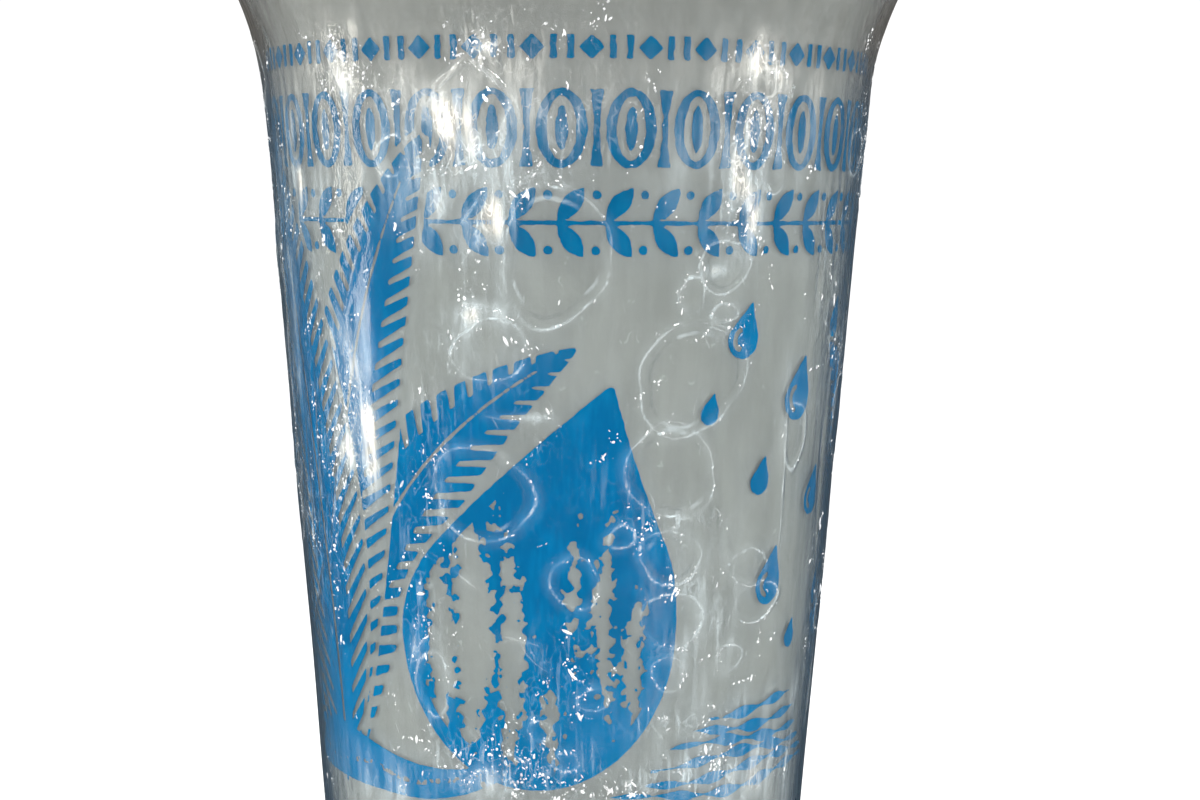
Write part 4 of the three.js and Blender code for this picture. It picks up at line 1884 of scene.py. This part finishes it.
    def sprinkle(self) -> np.ndarray:
        """Small drops that scatter away to the upper right.

        Returns:
            Their field.
        """
        parts = []
        spots = ((21, 68, 2.1), (31, 61, 2.5), (25, 52, 1.5), (37, 49, 2.0), (28, 40, 2.3), (40, 69, 1.6),
                 (43, 37, 1.5), (17, 60, 1.2), (45, 57, 1.2), (34, 33, 1.2))
        for middle, level, size in spots:
            x, y = self.across - middle, self.up - level
            body = self.drop(x, y, size, size * 1.9, 0.25)
            gleam = np.minimum(0.3 - np.abs(np.hypot(x, y) - 0.55 * size), -x - 0.1 * size)
            parts.append(cut(body, gleam) if size > 1.8 else body)
        return joined_fields(*parts)

    def artwork(self) -> dict[str, np.ndarray]:
        """Draws the whole panel.

        Returns:
            Fields of the friezes and of the scene, above zero where there is ink.
        """
        gap, frayed = self.gap, self.fray * self.rough
        friezes = joined_fields(self.beads(), self.eggs(), self.laurels())
        leaves, leaf_outline = (joined_fields(*pair) for pair in zip(self.fan(0.0), self.fan(2 * self.half)))
        drop, drop_outline = self.big_drop()
        friezes = np.minimum(np.minimum(friezes, -leaf_outline - gap), -drop_outline - gap)
        scene = joined_fields(leaves, cut(self.sprinkle(), leaf_outline + gap))
        scene = joined_fields(np.minimum(scene, -drop_outline - gap), drop, self.water())
        return {"friezes": friezes + frayed, "scene": scene + frayed}

    def mesh(self, name: str, turn: float, flat: bpy.types.Mesh,
             finish: bpy.types.Material) -> bpy.types.Mesh:
        """Wraps the flat panel round the cup and gives it the ink's thickness.

        Args:
            name: The tree's name.
            turn: Angle of the panel's middle from the front's middle, in degrees.
            flat: The flat panel.
            finish: The ink.

        Returns:
            The wrapped panel.
        """
        shape = self.shape
        tree = Tree(name)
        place = tree.node("InputPosition")
        x, y = (tree.node("ShaderNodeSeparateXYZ", inputs={"Vector": place}, output=axis) for axis in "XY")
        angle = x / tree.size("Roll radius", self.roll * MM) + tree.size("Turn", math.radians(turn))
        foot = tree.size("Wall radius at the floor", (shape.wall_radius(0.0) + self.off_wall) * MM)
        radius = tree.maths("MULTIPLY_ADD", y, tree.size("Wall slope", shape.slope), foot)
        side, depth = radius * tree.maths("SINE", angle), radius * (tree.maths("COSINE", angle) * -1.0)
        spot = tree.node("ShaderNodeCombineXYZ", inputs={"X": side, "Y": depth, "Z": y})
        wrapped = tree.node("SetPosition", inputs={"Geometry": tree.source, "Position": spot})
        thickness = tree.size("Ink thickness", self.thickness * MM)
        raised = tree.node("ExtrudeMesh", {"mode": "FACES"},
                           {"Mesh": wrapped, "Offset Scale": thickness, "Individual": False})
        under = tree.node("FlipFaces", inputs={"Mesh": wrapped})
        shut = tree.node("JoinGeometry", inputs={0: [raised, under]})
        whole = tree.node("MergeByDistance", inputs={"Geometry": shut, "Distance": 1e-6})
        return tree.grown(flat, whole, finish)

    def build(self) -> None:
        """Adds the friezes and the scene on the front, and their repeats on the back."""
        finish = self.finish.material()
        for part, values in self.artwork().items():
            outline = Contour(values, self.columns, self.rows)
            flat = mesh_of(f"flat_{part}", np.array(outline.points), outline.faces)
            for side, turn in (("front", 0.0), ("back", 180.0)):
                name = f"print_{part}_{side}"
                mesh = self.mesh(name, turn, flat, finish)
                mesh.polygons.foreach_set("use_smooth", [True] * len(mesh.polygons))
                mesh.set_sharp_from_angle(angle=CRISP)
                piece(name, mesh, finish, Slot.INK)


@dataclass(frozen=True)
class Lamp:
    """A soft panel of light that faces the pack.

    Attributes:
        name: The lamp's name.
        angle: Degrees from the front's middle, growing to the viewer's right.
        elevation: Degrees above the pack's middle.
        distance: From the pack's middle, in metres.
        width: Of the panel, in metres.
        height: Of the panel, in metres.
        brightness: Of the panel's face, where white paper in daylight is about 1.
        colour: Of its light.
        mirrored: Whether glossy surfaces show it.
    """

    name: str
    angle: float
    elevation: float
    distance: float
    width: float
    height: float
    brightness: float
    colour: tuple[float, float, float] = (1.0, 1.0, 1.0)
    mirrored: bool = True

    def add(self, aim: Vector) -> None:
        """Places the panel so that it faces a point.

        Args:
            aim: The point.
        """
        data = bpy.data.lights.new(self.name, "AREA")
        data.shape, data.size, data.size_y = "RECTANGLE", self.width, self.height
        data.color = self.colour
        data.energy = self.brightness * math.pi * self.width * self.height
        level = math.radians(self.elevation)
        away = Vector(round_axis(self.angle, math.cos(level), math.sin(level)).tolist())
        lamp = bpy.data.objects.new(self.name, data)
        lamp.location = aim + away * self.distance
        lamp.rotation_euler = away.to_track_quat("Z", "Y").to_euler()
        lamp.visible_camera = False
        lamp.visible_glossy = self.mirrored
        bpy.context.scene.collection.objects.link(lamp)


@dataclass(frozen=True)
class Studio:
    """A plain pale floor, soft light from above and the sides, and the camera."""

    aim: Vector = Vector((0, 0, 0.06))
    floor_size: float = 8.0
    shadow_reach: float = 0.05
    opening: float = 0.025
    camera_place: tuple[float, float, float] = (0.00419, -0.254, 0.0834)
    camera_pitch: float = 5.55
    camera_roll: float = 0.43
    lens: float = 63.0
    lamps: tuple[Lamp, ...] = (
        Lamp("left_window", -86, -4, 0.7, 0.09, 0.22, 5.0, (1.0, 0.92, 0.80)),
        Lamp("left_fill", -70, 4, 0.8, 0.5, 0.5, 3.0, (1.0, 0.98, 0.95), False),
        Lamp("right_fill", 70, -4, 0.8, 0.5, 0.5, 1.3, (1.0, 1.0, 1.0), False),
        Lamp("right_window", 90, 10, 0.75, 0.06, 0.26, 4.0, (0.93, 0.97, 1.0)),
        Lamp("front_box", -14, 34, 0.8, 0.55, 0.35, 1.1),
        Lamp("front_low", 8, 16, 0.8, 0.50, 0.20, 0.8),
        Lamp("high_spot", 35, 55, 0.8, 0.06, 0.06, 45.0),
        Lamp("left_spark", -44, 9, 0.8, 0.035, 0.035, 70.0, (1.0, 0.97, 0.9)),
        Lamp("left_high_spark", -30, 24, 0.8, 0.035, 0.035, 70.0),
        Lamp("middle_spark", -14, 5, 0.8, 0.035, 0.035, 70.0),
        Lamp("right_spark", 38, 8, 0.8, 0.035, 0.035, 70.0, (1.0, 0.97, 0.9)),
        Lamp("right_high_spark", 22, 20, 0.8, 0.035, 0.035, 70.0),
        Lamp("back_light", 170, 40, 1.0, 0.5, 0.5, 3.0),
    )

    def floor(self) -> None:
        """Adds the floor, which the pack's gloss doesn't mirror.

        It is shaded near the pack and white further out, so that no horizon shows. It is clear from below
        and open where the pack hides it, which lights the underside.
        """
        half = self.floor_size / 2 / MM
        corners = np.array([(-half, -half, 0), (half, -half, 0), (half, half, 0), (-half, half, 0)])
        mesh = mesh_of("floor", corners, [(0, 1, 2, 3)])
        paint = Paint.named("floor")
        tone = paint.blend(paint.clouds(60.0), (0.84, 0.84, 0.84, 1), (0.86, 0.86, 0.855, 1))
        seen = paint.node("LightPath", output="Is Camera Ray")
        place = paint.node("TexCoord", output="Object")
        away = paint.node("VectorMath", {"operation": "LENGTH"}, {0: place}, output="Value")
        white = paint.node("Emission", inputs={"Color": (1, 1, 1, 1), "Strength": 1.1})
        share = seen * paint.between(away, self.shadow_reach, 5 * self.shadow_reach, 0.2, 0.9)
        pale = paint.mixed(share, paint.body(tone, Roughness=0.9), white)
        below = paint.node("NewGeometry", output="Backfacing")
        opening = paint.maths("LESS_THAN", away, self.opening)
        clear = paint.maths("MAXIMUM", below, opening)
        mesh.materials.append(paint.done(paint.mixed(clear, pale, paint.node("BsdfTransparent"))))
        floor = bpy.data.objects.new("floor", mesh)
        floor.visible_glossy = False
        bpy.context.scene.collection.objects.link(floor)

    def sky(self) -> None:
        """Lights the pack from all round, most from above, before a white ground.

        What the gloss mirrors is dimmer than what lights the juice, so that the film stays clear.
        """
        world = bpy.data.worlds.new("studio")
        bpy.context.scene.world = world
        paint = Paint(world)
        way = paint.node("TexCoord", output="Generated")
        right, back, up = (paint.node("SeparateXYZ", inputs={"Vector": way}, output=axis) for axis in "XYZ")
        mirrored = paint.between(up, 0.06, 0.22, 0.02, 0.5) + paint.between(up, 0.3, 0.85, 0.0, 0.9)
        sides = paint.maths("MAXIMUM", right * 0.95, right * -0.8)
        spread = sides + paint.between(back, -0.1, 0.6, 1.06, 1.75)
        strength = spread + (mirrored - spread) * paint.node("LightPath", output="Is Glossy Ray")
        light = paint.node("Background", inputs={"Color": (1.0, 1.0, 1.0, 1), "Strength": strength})
        ground = paint.node("Background", inputs={"Color": (1, 1, 1, 1), "Strength": 1.05})
        seen = paint.node("LightPath", output="Is Camera Ray")
        paint.done(paint.mixed(seen, light, ground))

    def camera(self) -> None:
        """Adds the camera, a hand's breadth before the pack and a little above its middle."""
        data = bpy.data.cameras.new("camera")
        data.lens, data.sensor_width, data.clip_start = self.lens, 36.0, 0.01
        camera = bpy.data.objects.new("camera", data)
        tilt = Matrix.Rotation(math.radians(90 - self.camera_pitch), 4, "X")
        camera.matrix_world = Matrix.Translation(self.camera_place) @ tilt @ Matrix.Rotation(
            math.radians(self.camera_roll), 4, "Z")
        bpy.context.scene.collection.objects.link(camera)
        bpy.context.scene.camera = camera

    def build(self) -> None:
        """Adds everything that isn't part of the pack."""
        self.floor()
        self.sky()
        for lamp in self.lamps:
            lamp.add(self.aim)
        self.camera()
        bpy.context.scene.view_settings.view_transform = "Standard"
        light = bpy.context.scene.cycles
        light.transparent_max_bounces, light.diffuse_bounces, light.glossy_bounces = 32, 2, 2


def main() -> None:
    """Builds the pack from the inside out, then the studio."""
    logging.basicConfig(level=logging.INFO, format="%(message)s")
    shape = PackShape(height=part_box("shrink_film")[1].z / MM)
    for part in (Juice(shape), Cup(shape), Lid(shape), Print(shape), Film(shape), Studio()):
        log.info("building %s", type(part).__name__.lower())
        part.build()


if __name__ == "__main__":
    main()
